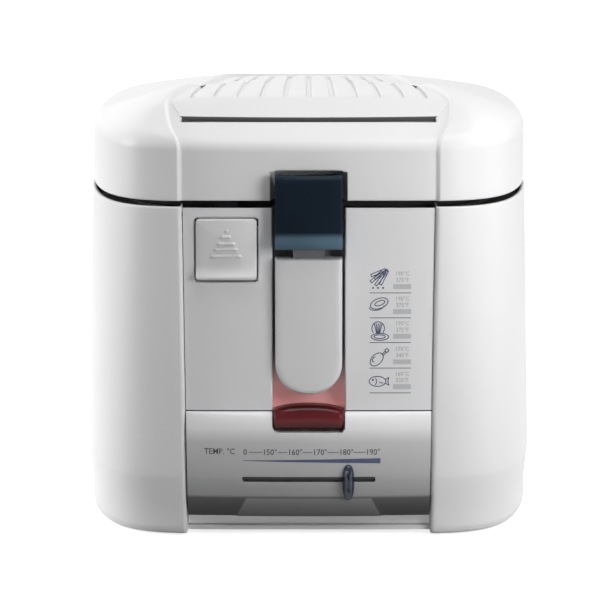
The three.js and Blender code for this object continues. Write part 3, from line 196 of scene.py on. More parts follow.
# Shader nodes: an input takes a plain value, or another node's output.
def fillInputs(tree, node, values):
    for name, value in values.items():
        if isinstance(value, bpy.types.NodeSocket):
            tree.links.new(value, node.inputs[name])
        else:
            node.inputs[name].default_value = value
    return node


def addNode(tree, kind, values, **settings):
    node = tree.nodes.new("ShaderNode" + kind)
    for name, value in settings.items():
        setattr(node, name, value)
    return fillInputs(tree, node, values)


def mathNode(tree, operation, *terms):
    return addNode(tree, "Math", dict(enumerate(terms)), operation=operation).outputs[0]


def mapRange(tree, value, start, end, **settings):  # start and end are pairs of from and to
    values = {"Value": value, "From Min": start[0], "From Max": end[0], "To Min": start[1], "To Max": end[1]}
    return addNode(tree, "MapRange", values, **settings).outputs["Result"]


def objectPlace(tree):
    return addNode(tree, "TexCoord", {}).outputs["Object"]


def rampOf(tree, share, stops):  # stops are pairs of place and colour
    ramp = addNode(tree, "ValToRGB", {"Fac": share})
    marks = ramp.color_ramp.elements
    for mark, (place, colour) in zip(marks, (stops[0], stops[-1])):
        mark.position, mark.color = place, (*colour, 1)
    for place, colour in stops[1:-1]:
        marks.new(place).color = (*colour, 1)
    return ramp.outputs["Color"]


def toneByHeight(tree, stops):  # stops are pairs of height and colour
    low, high = stops[0][0], stops[-1][0]
    height = addNode(tree, "SeparateXYZ", {0: objectPlace(tree)}).outputs["Z"]
    share = mapRange(tree, height, (low * mm, 0.0), (high * mm, 1.0))
    return rampOf(tree, share, [((level - low) / (high - low), colour) for level, colour in stops])


studio = {
    "aim": (0.0, 0.0, 0.127),
    "distance": 2.2,
    "rise": 8.5,  # degrees above level
    "lens": 214.92,
    "shift": (-0.0145, -0.0333),
    "ambient": (0.06, 0.74),  # room light from in front, and from behind
    "fade": (-0.35, 0.55),  # where the room light changes between them
    "lamps": [  # place, size, power, aim
        ((0.1, -0.35, 1.6), 0.9, 11.4, (0.0, 0.0, 0.2)),
        ((0.30, -0.42, 0.24), 0.2, 1.02, (0.0, -0.13, 0.12)),
        ((1.6, 0.3, 0.5), 0.7, 5.5, (0.0, 0.0, 0.12)),
        ((-1.6, 0.0, 0.5), 0.7, 16.5, (0.0, 0.0, 0.12)),
    ],
    "floorReach": 8.0,
    "floorGlow": 0.8,
    "floorShade": (0.3, 0.9),  # how pale the floor is to the object, and to the eye
}
pureWhite = (1, 1, 1, 1)


def makeCamera(scene):
    camera = bpy.data.objects.new("camera", bpy.data.cameras.new("camera"))
    scene.collection.objects.link(camera)
    rise = math.radians(studio["rise"])
    back = Vector((0.0, -math.cos(rise), math.sin(rise)))
    camera.location = Vector(studio["aim"]) + back * studio["distance"]
    camera.rotation_euler = (-back).to_track_quat("-Z", "Y").to_euler()
    camera.data.lens = studio["lens"]
    camera.data.sensor_width = 36
    camera.data.shift_x, camera.data.shift_y = studio["shift"]
    scene.camera = camera


def makeLamps(scene):
    for index, (place, size, power, target) in enumerate(studio["lamps"]):
        lamp = bpy.data.lights.new("softbox_%d" % index, "AREA")
        lamp.shape = "SQUARE"
        lamp.size = size
        lamp.energy = power
        holder = bpy.data.objects.new(lamp.name, lamp)
        holder.location = place
        holder.rotation_euler = (Vector(target) - Vector(place)).to_track_quat("-Z", "Y").to_euler()
        scene.collection.objects.link(holder)


def seenRays(tree):  # 1 for what the eye, metal and glass see
    ray = addNode(tree, "LightPath", {})
    seen = ray.outputs["Is Camera Ray"]
    for name in ("Is Glossy Ray", "Is Transmission Ray"):
        seen = mathNode(tree, "MAXIMUM", seen, ray.outputs[name])
    return seen


def makeRoom(scene):
    world = bpy.data.worlds.new("studio")
    scene.world = world
    world.use_nodes = True
    tree = world.node_tree
    facing = addNode(tree, "SeparateXYZ", {0: addNode(tree, "TexCoord", {}).outputs["Generated"]})
    start, end = zip(studio["fade"], studio["ambient"])
    ambient = mapRange(tree, facing.outputs["Y"], start, end, interpolation_type="SMOOTHSTEP")
    room = fillInputs(tree, tree.nodes["Background"], {"Color": pureWhite, "Strength": ambient})
    backdrop = addNode(tree, "Background", {"Color": pureWhite, "Strength": 1.0})
    chosen = addNode(tree, "MixShader", {0: seenRays(tree), 1: room.outputs[0], 2: backdrop.outputs[0]})
    tree.links.new(chosen.outputs[0], tree.nodes["World Output"].inputs[0])


def makeFloor(scene):
    mesh = bpy.data.meshes.new("tabletop")
    reach = studio["floorReach"]
    corners = [(-reach, -reach, 0), (reach, -reach, 0), (reach, reach, 0), (-reach, reach, 0)]
    mesh.from_pydata(corners, [], [(0, 1, 2, 3)])
    floor = bpy.data.objects.new("tabletop", mesh)
    scene.collection.objects.link(floor)
    white = bpy.data.materials.new("tabletop")
    white.use_nodes = True
    tree = white.node_tree
    tree.nodes.remove(tree.nodes["Principled BSDF"])
    seen = seenRays(tree)
    shade = mapRange(tree, seen, (0.0, studio["floorShade"][0]), (1.0, studio["floorShade"][1]))
    plain = addNode(tree, "BsdfDiffuse", {"Color": shade})
    glow = addNode(tree, "Emission", {"Strength": mathNode(tree, "MULTIPLY", seen, studio["floorGlow"])})
    both = addNode(tree, "AddShader", {0: plain.outputs[0], 1: glow.outputs[0]})
    tree.links.new(both.outputs[0], tree.nodes["Material Output"].inputs[0])
    mesh.materials.append(white)


def makeStudio():
    scene = bpy.context.scene
    scene.view_settings.view_transform = "Standard"
    makeCamera(scene)
    makeLamps(scene)
    makeRoom(scene)
    makeFloor(scene)


makeStudio()
print("studio ready")


# A finish's colour and gloss drift a little over the surface, under a fine moulded grain.
def finishOf(name, colour, roughness, coat=0.0, metallic=0.0, specular=0.5, mottle=0.025, cloudScale=18.0,
             grain=0.04, grainScale=1400.0, roughSpread=0.05, stretch=(1, 1, 1)):
    material = bpy.data.materials.new(name)
    material.use_nodes = True
    tree = material.node_tree
    place = addNode(tree, "Mapping", {"Vector": objectPlace(tree), "Scale": stretch}).outputs[0]
    cloud = addNode(tree, "TexNoise", {"Vector": place, "Scale": cloudScale, "Detail": 5.0}).outputs["Fac"]
    dark = [c * (1 - mottle) for c in colour]
    pale = [min(c * (1 + mottle), 1) for c in colour]
    gloss = mapRange(tree, cloud, (0.0, max(roughness - roughSpread, 0.02)), (1.0, roughness + roughSpread))
    shader = fillInputs(tree, tree.nodes["Principled BSDF"], {
        "Base Color": rampOf(tree, cloud, [(0.3, dark), (0.7, pale)]), "Roughness": gloss,
        "Metallic": metallic, "Specular IOR Level": specular, "Coat Weight": coat, "Coat Roughness": 0.12})
    if grain:
        speck = addNode(tree, "TexNoise", {"Vector": place, "Scale": grainScale, "Detail": 3.0})
        bump = addNode(tree, "Bump", {"Strength": grain, "Distance": 0.0003, "Height": speck.outputs["Fac"]})
        tree.links.new(bump.outputs["Normal"], shader.inputs["Normal"])
    return material


def grey(value):
    return (value, value, value)


paint = {"coat": 0.05, "specular": 0.2, "mottle": 0.008, "grain": 0.02}  # the white mouldings
silver = {"coat": 0.05, "specular": 0.22, "grainScale": 2600}
shellWhite = finishOf("shellWhite", grey(0.79), 0.42, **paint)
lidWhite = finishOf("lidWhite", grey(0.82), 0.40, **paint)
panelSilver = finishOf("panelSilver", (0.76, 0.76, 0.77), 0.38, metallic=0.02, mottle=0.012, grain=0.06,
                       **silver)
controlSilver = finishOf("controlSilver", (0.86, 0.86, 0.87), 0.36, metallic=0.03, mottle=0.02, grain=0.06,
                         **silver)
gripSilver = finishOf("gripSilver", (0.70, 0.70, 0.71), 0.34, metallic=0.03, mottle=0.012, grain=0.05,
                      **silver)
buttonSilver = finishOf("buttonSilver", grey(0.70), 0.38, metallic=0.03, specular=0.25, mottle=0.012,
                        grain=0.05, grainScale=2600)
cursorNavy = finishOf("cursorNavy", (0.085, 0.140, 0.190), 0.26, specular=0.05, mottle=0.2)
knobNavy = finishOf("knobNavy", (0.008, 0.014, 0.036), 0.16, coat=0.3, specular=0.2, mottle=0.2, grain=0.0)
channelGrey = finishOf("channelGrey", grey(0.52), 0.5, specular=0.15, mottle=0.04, grain=0.06)
baseGrey = finishOf("baseGrey", grey(0.80), 0.5, mottle=0.05, grain=0.15, grainScale=900)
footPaintedLight = finishOf("footPaintedLight", grey(0.84), 0.6, specular=0.05)  # the wall under the control panel
darkMoulding = finishOf("darkMoulding", (0.035, 0.035, 0.038), 0.5, mottle=0.2, grain=0.3, grainScale=700)
ventGrey = finishOf("ventGrey", (0.10, 0.10, 0.105), 0.5, mottle=0.1, grain=0.2, grainScale=700)
catchBlack = finishOf("catchBlack", (0.012, 0.012, 0.013), 0.7, specular=0.05, mottle=0.2, grain=0.3,
                      grainScale=700)
feltBlack = finishOf("feltBlack", (0.02, 0.02, 0.021), 0.95, mottle=0.5, grain=0.9, grainScale=420,
                     cloudScale=60)
footRubber = finishOf("footRubber", grey(0.03), 0.8, mottle=0.25, grain=0.3, grainScale=500)
brightSteel = finishOf("brightSteel", (0.62, 0.62, 0.63), 0.24, metallic=1.0, mottle=0.05, grain=0.12,
                       grainScale=260, stretch=(1, 1, 9), roughSpread=0.09)
wireSteel = finishOf("wireSteel", grey(0.66), 0.18, metallic=1.0, mottle=0.06, grain=0.1, grainScale=300)
panCoating = finishOf("panCoating", (0.055, 0.055, 0.058), 0.38, metallic=0.3, mottle=0.3, grain=0.35,
                      grainScale=900, cloudScale=40)
printNavy = finishOf("printNavy", (0.035, 0.045, 0.10), 0.45, mottle=0.12, grain=0.0)
printGrey = finishOf("printGrey", (0.42, 0.42, 0.43), 0.5, mottle=0.08, grain=0.0)
printPale = finishOf("printPale", (0.50, 0.50, 0.51), 0.5, mottle=0.08, grain=0.0)
printDark = finishOf("printDark", (0.035, 0.035, 0.04), 0.45, mottle=0.12, grain=0.0)
lampGlass = finishOf("lampGlass", (0.85, 0.5, 0.35), 0.1, mottle=0.05, grain=0.0)


# Multiplies a material's colour by painted light and shade that change with height.
def paintShadeByHeight(material, stops):  # multiplies the colour
    tree = material.node_tree
    shade = tree.nodes["Principled BSDF"].inputs["Base Color"]
    graded = addNode(tree, "Mix", {0: 1.0, 6: shade.links[0].from_socket, 7: toneByHeight(tree, stops)},
                     data_type="RGBA", blend_type="MULTIPLY")
    tree.links.new(graded.outputs[2], shade)


# Gives a surface a glow, used here only for painted light.
def setPaintedGlow(material, colour, strength):
    shader = material.node_tree.nodes["Principled BSDF"]
    fillInputs(material.node_tree, shader, {"Emission Color": colour, "Emission Strength": strength})


# These tones are painted reflections and shade, so they stay the same under any lamp: the control panel is
# painted darker towards its foot and in its undercut, and the cursor darker above its painted lighter lip.
paintShadeByHeight(controlSilver, [(12, grey(0.01)), (17, grey(0.03)), (23.2, grey(0.08)), (25.0, grey(0.36)),
                              (40, grey(0.52)), (56, grey(0.64)), (64, grey(0.92)), (74, grey(1.0))])
# Painted highlight on the cursor's lip, and painted shade above it.
paintShadeByHeight(cursorNavy, [(168, grey(1.0)), (174.5, grey(0.9)), (177.5, (0.07, 0.09, 0.12)),
                           (203, (0.07, 0.087, 0.11)), (208, (0.09, 0.11, 0.14)), (210, (0.2, 0.2, 0.22))])
# The pink tone and weak glow at the trough's foot are painted red light from the lamp.
paintShadeByHeight(channelGrey, [(70, (1.0, 0.45, 0.45)), (78, (1.0, 0.52, 0.52)), (88, (1.0, 0.72, 0.72)),
                            (96, (0.9, 0.82, 0.82)), (104, grey(0.8))])
setPaintedGlow(channelGrey, toneByHeight(channelGrey.node_tree, [
    (70, (0.20, 0.05, 0.05)), (78, (0.23, 0.10, 0.10)), (87, (0.15, 0.08, 0.08)), (96, (0.03, 0.02, 0.02)),
    (106, grey(0.0))]), 1.0)
setPaintedGlow(footPaintedLight, pureWhite, 0.16)  # stands for light off the floor
print("finishes ready")


# The side shells' stations are pairs of height and inset.
shell = {
    "cornerRound": 2.8,  # where the shell turns in towards the centre panels
    "cornerSteps": 7,
    "returnDepth": 20.0,
    "foot": [(7.0, 2.4), (1.6, 2.4), (1.05, 2.0), (1.0, 1.5), (1.15, 0.9), (1.6, 0.35), (2.2, 0.1)],
    "levels": [3, 6, 10, 15, 20, 25, 29, 32, 33.6, 34.6, 35.6, 37, 40, 46, 56, 70, 90, 110, 130, 150, 170,
               182, 189],
    "rim": [(190.6, 0.0), (191.1, 0.12), (191.4, 0.42), (191.5, 0.85), (191.5, 1.7), (191.3, 2.2),
            (190.8, 2.4), (184.0, 2.4)],
    "around": 110,
}


def shellLoop(z, inset):
    half = float(halfWidthAt(z)) - inset
    seam = float(seamAt(z)) + inset * 0.4
    turn, deep = shell["cornerRound"], shell["returnDepth"]
    start = math.acos(min((seam + turn) / half, 1.0) ** (1 / body["cornerPower"]))
    angles = np.linspace(-start, start, shell["around"] + 1)
    xs, ys = outlineAt(angles, half, half + body["depthExtra"])
    frontY, backY = ys[0], ys[-1]
    reaches = (deep, deep * 0.5, turn + 2.0)
    corner = [(turn * (1 - math.cos(bend)), turn * (1 - math.sin(bend)))
              for bend in quarterTurn(shell["cornerSteps"])[:-1]]
    loop = [(seam, frontY + reach - inset) for reach in reaches]
    loop += [(seam + across, frontY + back) for across, back in corner]
    loop += list(zip(xs, ys))
    loop += [(seam + across, backY - back) for across, back in corner[::-1]]
    loop += [(seam, backY - reach + inset) for reach in reaches[::-1]]
    return loop


def makeShell(side):
    word = "right" if side > 0 else "left"
    stations = shell["foot"] + [(z, 0.0) for z in shell["levels"]] + shell["rim"]
    grid = np.array([[(side * x, y, z) for x, y in shellLoop(z, inset)] for z, inset in stations])
    verts, faces = sheetOf(grid)
    newPiece("shell_" + word, verts, faces, shellWhite, "housing", 40, ["side_shell_" + word],
             "white_plastic")


makeShell(-1)
makeShell(1)
print("side shells ready")


def hollowDrop(distance, edgeRound):  # how far a surface has turned in, near a hollow's edge
    near = np.clip(edgeRound - distance, 0, edgeRound)
    return edgeRound - np.sqrt(edgeRound ** 2 - near ** 2)


def boxDistance(x, z, hollow):
    middleX, middleZ = (hollow["x0"] + hollow["x1"]) / 2, (hollow["z0"] + hollow["z1"]) / 2
    radius = hollow["corner"]
    awayX = np.abs(x - middleX) - (hollow["x1"] - hollow["x0"]) / 2 + radius
    awayZ = np.abs(z - middleZ) - (hollow["z1"] - hollow["z0"]) / 2 + radius
    outside = np.hypot(np.maximum(awayX, 0), np.maximum(awayZ, 0))
    return outside + np.minimum(np.maximum(awayX, awayZ), 0) - radius


def edgeStations(at, outward, edgeRound):  # grid lines that crowd round a hollow's edge
    return [at + outward * edgeRound * share for share in (1.15, 1.0, 0.7, 0.45, 0.25, 0.1, 0.0)] + [
        at - outward * 0.04, at - outward * 0.5]


def sheetStations(low, high, step, edges, edgeRound):
    lines = set(round(value, 3) for value in spread(low, high, step) + [high])
    crowd = [value for at, outward in edges for value in edgeStations(at, outward, edgeRound)]
    lines = [value for value in lines if all(abs(value - other) > 0.35 for other in crowd)]
    lines += [value for value in crowd if low <= value <= high]
    return np.array(sorted(set(lines)))


# A centre panel is a sheet with rounded hollows pressed into it. Stations beyond the even part are
# stretched, so that the outermost one meets the seam.
sheet = {"even": 66.0, "half": 72.0}


def pressedSheet(faceY, xs, zs, hollows, seamGap):
    spanX, z = np.meshgrid(xs, zs)
    even = sheet["even"]
    edge = seamAt(z) - seamGap
    stretched = even + (np.abs(spanX) - even) * (edge - even) / (sheet["half"] - even)
    x = np.where(np.abs(spanX) > even, np.sign(spanX) * stretched, spanX)
    face = faceY(x, z)
    y = face.copy()
    for hollow in hollows:
        distance = boxDistance(x, z, hollow)
        y = y + hollowDrop(distance, hollow["edge"])
        floorY = hollow["floor"](x, z) if callable(hollow["floor"]) else face + hollow["floor"]
        y = np.where(distance < -0.02, floorY, y)
    return np.stack([x, y, z], axis=-1)


channel = {"half": 20.8, "floorY": -136.0, "foot": 70.5, "top": 260.0, "scoopTop": 92.0, "scoopFoot": 77.0,
           "scoopDeep": 9.0, "sideRound": 1.6}
buttonHole = {"x0": -65.3, "x1": -28.9, "z0": 148.0, "z1": 185.3, "corner": 3.0, "edge": 0.9, "floor": 9.5}


def channelFloor(x, z):  # curves forward at its foot, behind the lamp
    top, foot, rounded = channel["scoopTop"], channel["scoopFoot"], channel["sideRound"]
    share = np.clip((top - z) / (top - foot), 0, 1)
    side = np.clip((np.abs(x) - channel["half"] + rounded) / rounded, 0, 1)
    forward = channel["scoopDeep"] * (1 - np.sqrt(np.maximum(1 - share ** 2, 0)))
    return channel["floorY"] - forward - 1.2 * side ** 2


def makeFrontPanel():
    half, wide = channel["half"], sheet["half"]
    trough = {"x0": -half, "x1": half, "z0": channel["foot"], "z1": channel["top"], "corner": 1.0,
              "edge": 1.1, "floor": channelFloor}
    xs = sheetStations(-wide, wide, 3.0, [(half, 1), (-half, -1), (buttonHole["x0"], -1),
                                          (buttonHole["x1"], 1)], 1.1)
    zs = sheetStations(62.0, 190.4, 4.0, [(buttonHole["z0"], -1), (buttonHole["z1"], 1)], 1.0)
    zs = np.array(sorted(set(list(zs) + [190.7] + list(np.linspace(76, channel["scoopTop"], 12)))))
    grid = pressedSheet(panelFace, xs, zs, [trough, buttonHole], 0.45)
    rows = [grid]
    for rise, back in ((0.0, 0.25), (-0.15, 0.8), (-0.15, 2.2), (-6.0, 2.4)):  # over the body's rim
        rows.append(grid[-1:] + [0.0, back, rise])
    full = np.concatenate(rows, axis=0)
    sideWall = [0.0, 3.0, 0.0]
    verts, faces = sheetOf(np.concatenate([full[:, :1] + sideWall, full, full[:, -1:] + sideWall], axis=1))
    panel = newPiece("centre_panel", verts, faces, panelSilver, "housing", 34, ["front_panel"],
                     "pale_plastic")
    panel.data.materials.append(channelGrey)
    for polygon in panel.data.polygons:  # the trough's walls and floor are bare moulding
        middle = polygon.center / mm
        if abs(middle.x) < half + 0.02 and middle.y > -147.4:
            polygon.material_index = 1


makeFrontPanel()

vents = {"xs": (-36, -24, -12, 0, 12, 24, 36), "half": 2, "foot": 30, "top": 56, "deep": 7.0}


def makeRearPanel():
    half, foot, top = vents["half"], vents["foot"], vents["top"]
    hollows = [{"x0": x - half, "x1": x + half, "z0": foot, "z1": top, "corner": 1.9, "edge": 0.6,
                "floor": vents["deep"]} for x in vents["xs"]]
    edges = [(x + half * side, side) for x in vents["xs"] for side in (-1, 1)]
    xs = sheetStations(-sheet["half"], sheet["half"], 3.0, edges, 0.6)
    zs = sheetStations(1.3, 189.3, 5.0, [(foot, -1), (top, 1)], 0.6)
    bodyLevels = [2.2, 3.0, 15, 25, 33, 35, 37]
    ventLevels = [28, 29, 57, 58, 31.2, 31.8, 54.2, 54.8]
    zs = np.array(sorted(set(list(zs) + bodyLevels + ventLevels)))
    grid = pressedSheet(panelFace, xs, zs, hollows, 0.45)
    grid[..., 1] *= -1
    edge = grid[-1:] + [0.0, -2.4, 0.0]
    inner = edge + [0.0, 0.0, -30.0]
    verts, faces = sheetOf(np.concatenate([grid, edge, inner], axis=0))
    newPiece("back_panel", verts, faces, shellWhite, "housing", 34, ["rear_panel"], "white_plastic")


makeRearPanel()
print("centre panels ready")


control = {
    "top": 73.3,
    "foot": 12.3,
    "roll": 14.0,  # the top's radius
    "crease": 23.5,
    "creaseBow": 1.6,  # the crease dips this much at its middle
    "proud": 2.5,
    "bulge": 4.0,
    "rake": 0.2,
    "tuck": 0.25,
    "plateTop": 36.0,  # half widths of the shallow plate under the crease
    "plateFoot": 41.6,
    "plateDepth": 0.66,
    "plateShades": ((12.0, 0.05), (23.0, 0.19)),  # height and tone at its foot and top
    "slotHalf": 38.2,
    "slotHeight": 34.5,
    "slotWidth": 2.9,
    "wallY": -141.0,  # the wall under the panel
    "wallFoot": 5.6,
}


def creaseAt(x):
    return control["crease"] - control["creaseBow"] * (1 - (x / 70.0) ** 2) + 1.2


def controlFace(x, z):
    share = np.clip(x / seamAt(z), -1, 1)
    reach = control["proud"] + control["bulge"] * (1 - share ** 2)
    rolled = np.clip(1 - (control["top"] - z) / control["roll"], 0, 1)
    depth = np.sqrt(np.maximum(1 - rolled ** 2, 0))
    crease = creaseAt(x)
    flat = control["top"] - control["roll"]
    depth = np.where(z < flat, 1 - control["rake"] * np.clip((flat - z) / (flat - crease), 0, 1), depth)
    under = np.clip((crease - z) / (crease - control["foot"]), 0, 1)
    ridge = 1 - control["rake"]
    steep = ridge + (control["tuck"] - ridge) * under
    shallow = ridge + (control["plateDepth"] - ridge) * under
    side = control["plateTop"] + (control["plateFoot"] - control["plateTop"]) * under
    inPlate = 0.5 + 0.5 * np.clip((side - np.abs(x)) / 0.9, -1, 1)
    depth = np.where(z < crease, steep + (shallow - steep) * inPlate, depth)
    soften = np.exp(-((z - crease) / 1.1) ** 2) * 0.035  # the crease is a small radius, not an edge
    return panelFace(x, z) - 0.3 - (depth - soften) * reach


# Paints shade on the shallow plate, paler than the painted shade of the undercut beside it.
def paintPlateShade(material):  # a paler tone on the shallow plate than on the undercut beside it
    tree = material.node_tree
    shade = tree.nodes["Principled BSDF"].inputs["Base Color"]
    (low, dark), (high, pale) = control["plateShades"]
    soft = 0.4 * mm
    parts = addNode(tree, "SeparateXYZ", {0: objectPlace(tree)})
    height = parts.outputs["Z"]
    edge = mapRange(tree, height, (low * mm, control["plateFoot"] * mm),
                    (high * mm, control["plateTop"] * mm))
    margin = mathNode(tree, "SUBTRACT", edge, mathNode(tree, "ABSOLUTE", parts.outputs["X"]))
    inside = mapRange(tree, margin, (-soft, 0.0), (soft, 1.0))
    below = mapRange(tree, height, ((high - 0.2) * mm, 1.0), ((high + 0.4) * mm, 0.0))
    tone = mapRange(tree, height, (low * mm, dark), (high * mm, pale))
    plate = addNode(tree, "CombineColor", {"Red": tone, "Green": tone, "Blue": tone}).outputs[0]
    both = addNode(tree, "Mix", {0: mathNode(tree, "MULTIPLY", inside, below),
                                 6: shade.links[0].from_socket, 7: plate}, data_type="RGBA")
    tree.links.new(both.outputs[2], shade)


def makeControlPanel():
    slot = {"x0": -control["slotHalf"], "x1": control["slotHalf"],
            "z0": control["slotHeight"] - control["slotWidth"] / 2,
            "z1": control["slotHeight"] + control["slotWidth"] / 2, "corner": 1.4, "edge": 0.5, "floor": 3.0}
    lampHole = {"x0": -20.7, "x1": 20.7, "z0": 61.9, "z1": 90.0, "corner": 3.4, "edge": 0.35, "floor": 6.5}
    wide = sheet["half"]
    xs = sheetStations(-wide, wide, 2.5, [(slot["x0"], -1), (slot["x1"], 1), (-21.0, -1), (21.0, 1)], 0.6)
    plateXs = (35.1, 36.0, 36.9, 37.7, 39.0, 40.2, 41.0, 42.2)
    lampXs = (19.5, 18.5, 20.0)
    xs = np.array(sorted(set([round(x, 3) for x in xs] +
                             [side * x for side in (-1, 1) for x in plateXs + lampXs])))
    zs = sheetStations(control["foot"], 60.6, 2.2, [(slot["z0"], -1), (slot["z1"], 1)], 0.5)
    creaseZs = [20.5, 21.2, 21.8, 22.3, 22.8, 23.3, 23.9, 24.6, 25.5]
    lampZs = [61.0, 61.4, 61.69, 61.8, 62.2, 62.8, 63.6, 64.4]
    roll = [control["top"] - control["roll"] * (1 - math.cos(bend)) for bend in quarterTurn(11)]
    zs = np.array(sorted(set(list(zs) + creaseZs + roll + lampZs)))
    grid = pressedSheet(controlFace, xs, zs, [slot, lampHole], 0.5)
    foot = grid[0:1]
    under = [foot + [0.0, back, rise] for rise, back in ((0.0, 3.0), (0.0, 0.7), (0.15, 0.15))]
    inner = foot.copy()
    inner[..., 1] = control["wallY"]
    footing = inner.copy()
    footing[..., 2] = control["wallFoot"]
    full = np.concatenate([footing, inner] + under + [grid], axis=0)
    left, right = full[:, :1].copy(), full[:, -1:].copy()
    for end in (left, right):
        end[..., 1] = np.maximum(end[..., 1] + 6.0, -146.0)
    verts, faces = sheetOf(np.concatenate([left, full, right], axis=1))
    panel = newPiece("control_front", verts, faces, controlSilver, "housing", 38, ["control_panel"],
                     "silver_plastic")
    panel.data.materials.append(darkMoulding)
    panel.data.materials.append(footPaintedLight)
    # The pale faces below the panel carry painted light off the floor.
    for polygon in panel.data.polygons:  # dark inside the slot, and pale below the panel
        middle = polygon.center / mm
        inSlot = abs(middle.x) < slot["x1"] and slot["z0"] < middle.z < slot["z1"]
        if middle.z < 11.0:
            polygon.material_index = 2
        if inSlot and middle.y > float(controlFace(middle.x, middle.z)) + 0.9:
            polygon.material_index = 1


paintPlateShade(controlSilver)
makeControlPanel()


lens = {"half": 20.3, "foot": 62.4, "top": 77.5, "backY": -146.0, "frontY": -158.4, "round": 3.0,
        "arch": 3.0, "squareness": 0.4, "endBack": 0.26}


def lensFinish():
    material = bpy.data.materials.new("lensRed")
    material.use_nodes = True
    tree = material.node_tree
    place = objectPlace(tree)
    height = addNode(tree, "SeparateXYZ", {0: place}).outputs["Z"]
    share = mapRange(tree, height, (lens["foot"] * mm, 0.0), (lens["top"] * mm, 1.0))
    cloud = addNode(tree, "TexNoise", {"Scale": 90.0, "Vector": place}).outputs["Fac"]
    lean = mathNode(tree, "MULTIPLY_ADD", cloud, 0.16, share)
    # Painted shade darkens the lens towards its foot and top.
    lensShadeStops = [(0.05, (0.020, 0.001, 0.002)), (0.28, (0.06, 0.002, 0.004)), (0.5, (0.16, 0.008, 0.013)),
              (0.8, (0.11, 0.005, 0.009)), (0.98, (0.055, 0.003, 0.005))]  # towards its foot and top
    fillInputs(tree, tree.nodes["Principled BSDF"], {
        "Base Color": rampOf(tree, lean, lensShadeStops), "Roughness": 0.16, "Specular IOR Level": 0.12,
        "Coat Weight": 0.08, "Coat Roughness": 0.06})
    return material


def makeLens():  # its front bulges squarely between its top and foot, with rounded ends
    half, foot, top, backY = lens["half"], lens["foot"], lens["top"], lens["backY"]
    ends = [(half - lens["round"] * (1 - math.sin(bend)), 1 - (1 - math.cos(bend)) * lens["endBack"])
            for bend in quarterTurn(8)]
    across = [(-x, back) for x, back in ends[::-1]] + [(x, 1.0) for x in np.linspace(-14, 14, 9)] + ends
    rows = []
    for share in np.linspace(-1, 1, 25):
        angle = math.pi / 2 * (1 + share)
        z = (foot + top) / 2 + (top - foot) / 2 * math.cos(angle)
        reach = max(math.sin(angle), 0.0) ** lens["squareness"]
        if 0.16 < share < 0.34:
            reach -= 0.012 * math.sin((share - 0.16) / 0.18 * math.pi)  # a faint waist
        row = [(x, backY + (lens["frontY"] - backY) * reach * back, z) for x, back in across]
        rows.append([(-half, backY, z)] + row + [(half, backY, z)])
    grid = np.array(rows)
    rise = (grid[..., 2] - foot) / (top - foot)
    grid[..., 2] -= lens["arch"] * np.abs(grid[..., 0] / half) ** 2.6 * rise ** 1.5
    verts, faces = sheetOf(grid)
    newPiece("lamp_window", verts, faces, lensFinish(), "housing", 50, ["lamp_lens"], "red_lens")


makeLens()
print("control panel ready")


lidForm = {
    "foot": 194.7,
    "half": 130.0,
    "halfDepth": 150.4,
    "crown": 253.5,
    "frontDrop": 24.2,
    "backDrop": 17.5,
    "creaseY": -102.9,
    "creaseHeight": 251.7,
    "frontHeight": 229.3,
    "dome": 1.6,
    "frontDome": 5.9,
    "round": 5.0,
    "step": 2.5,  # the centre lies this much lower than the sides
    "chamfer": 2.6,
    "pocket": 6.5,  # depth of the outlet slot
    "notchHalf": 20.2,  # the cursor's notch in the front wall
    "notchFloorY": -134.6,
}
cover = {
    "half": 80.3,
    "back": 84.0,
    "backHalf": 52.0,
    "frontY": -123.6,
    "frontHalf": 74.0,
    "wideY": -107.0,
    "spread": 1.2,
    "gap": 0.8,
    "wall": 2.4,
    "slotFrontY": -127.0,
    "stand": 0.35,  # it stands this much over the lid round it
}


def bezier(points, count):
    t = np.linspace(0, 1, count + 1)[:, None]
    a, b, c, d = [np.array(p, float) for p in points]
    return (1 - t) ** 3 * a + 3 * (1 - t) ** 2 * t * b + 3 * (1 - t) * t ** 2 * c + t ** 3 * d


def quadratic(points, count):
    t = np.linspace(0, 1, count + 1)[:, None]
    a, b, c = [np.array(p, float) for p in points]
    return (1 - t) ** 2 * a + 2 * (1 - t) * t * b + t ** 2 * c


def coverSide(grow):  # the cover's right side and half of its back, from its widest place backwards
    half, back, backHalf = cover["half"] + grow, cover["back"] + grow, cover["backHalf"] + grow
    wideY = cover["wideY"]
    waist, neck = wideY + (back - wideY) * 0.2, wideY + (back - wideY) * 0.65
    turn = cover["backHalf"] / 4
    side = bezier([(half, wideY), (half - 2, waist), (backHalf + 6, neck), (backHalf, back - turn)], 40)
    corner = quadratic([(backHalf, back - turn), (backHalf - turn / 2, back), (backHalf - 2 * turn, back)],
                       14)
    return np.concatenate([side, corner[1:], [[0, back]]])


def mirrored(side):
    return np.concatenate([side, (side * [-1, 1])[::-1][1:]])


def stepSide():  # right side of the lowered centre, from the lid's front edge backwards
    half, wide = body["seamTop"], cover["half"] + cover["gap"]
    startY = -lidForm["halfDepth"] + lidForm["step"]
    bowY = cover["wideY"] + (-lidForm["halfDepth"] - cover["wideY"]) * 0.6
    strip = quadratic([(half, startY), (wide, bowY), (wide, cover["wideY"])], 30)
    return np.concatenate([[[half, -400]], strip, coverSide(cover["gap"])[1:]])


def pocketSide():
    end, front = cover["frontHalf"] - 0.4, cover["slotFrontY"]
    return np.concatenate([[[0, front], [end, front], [end - 1.6, front + 5.2], [end - 0.6, -112.0]],
                           coverSide(-5.0)])


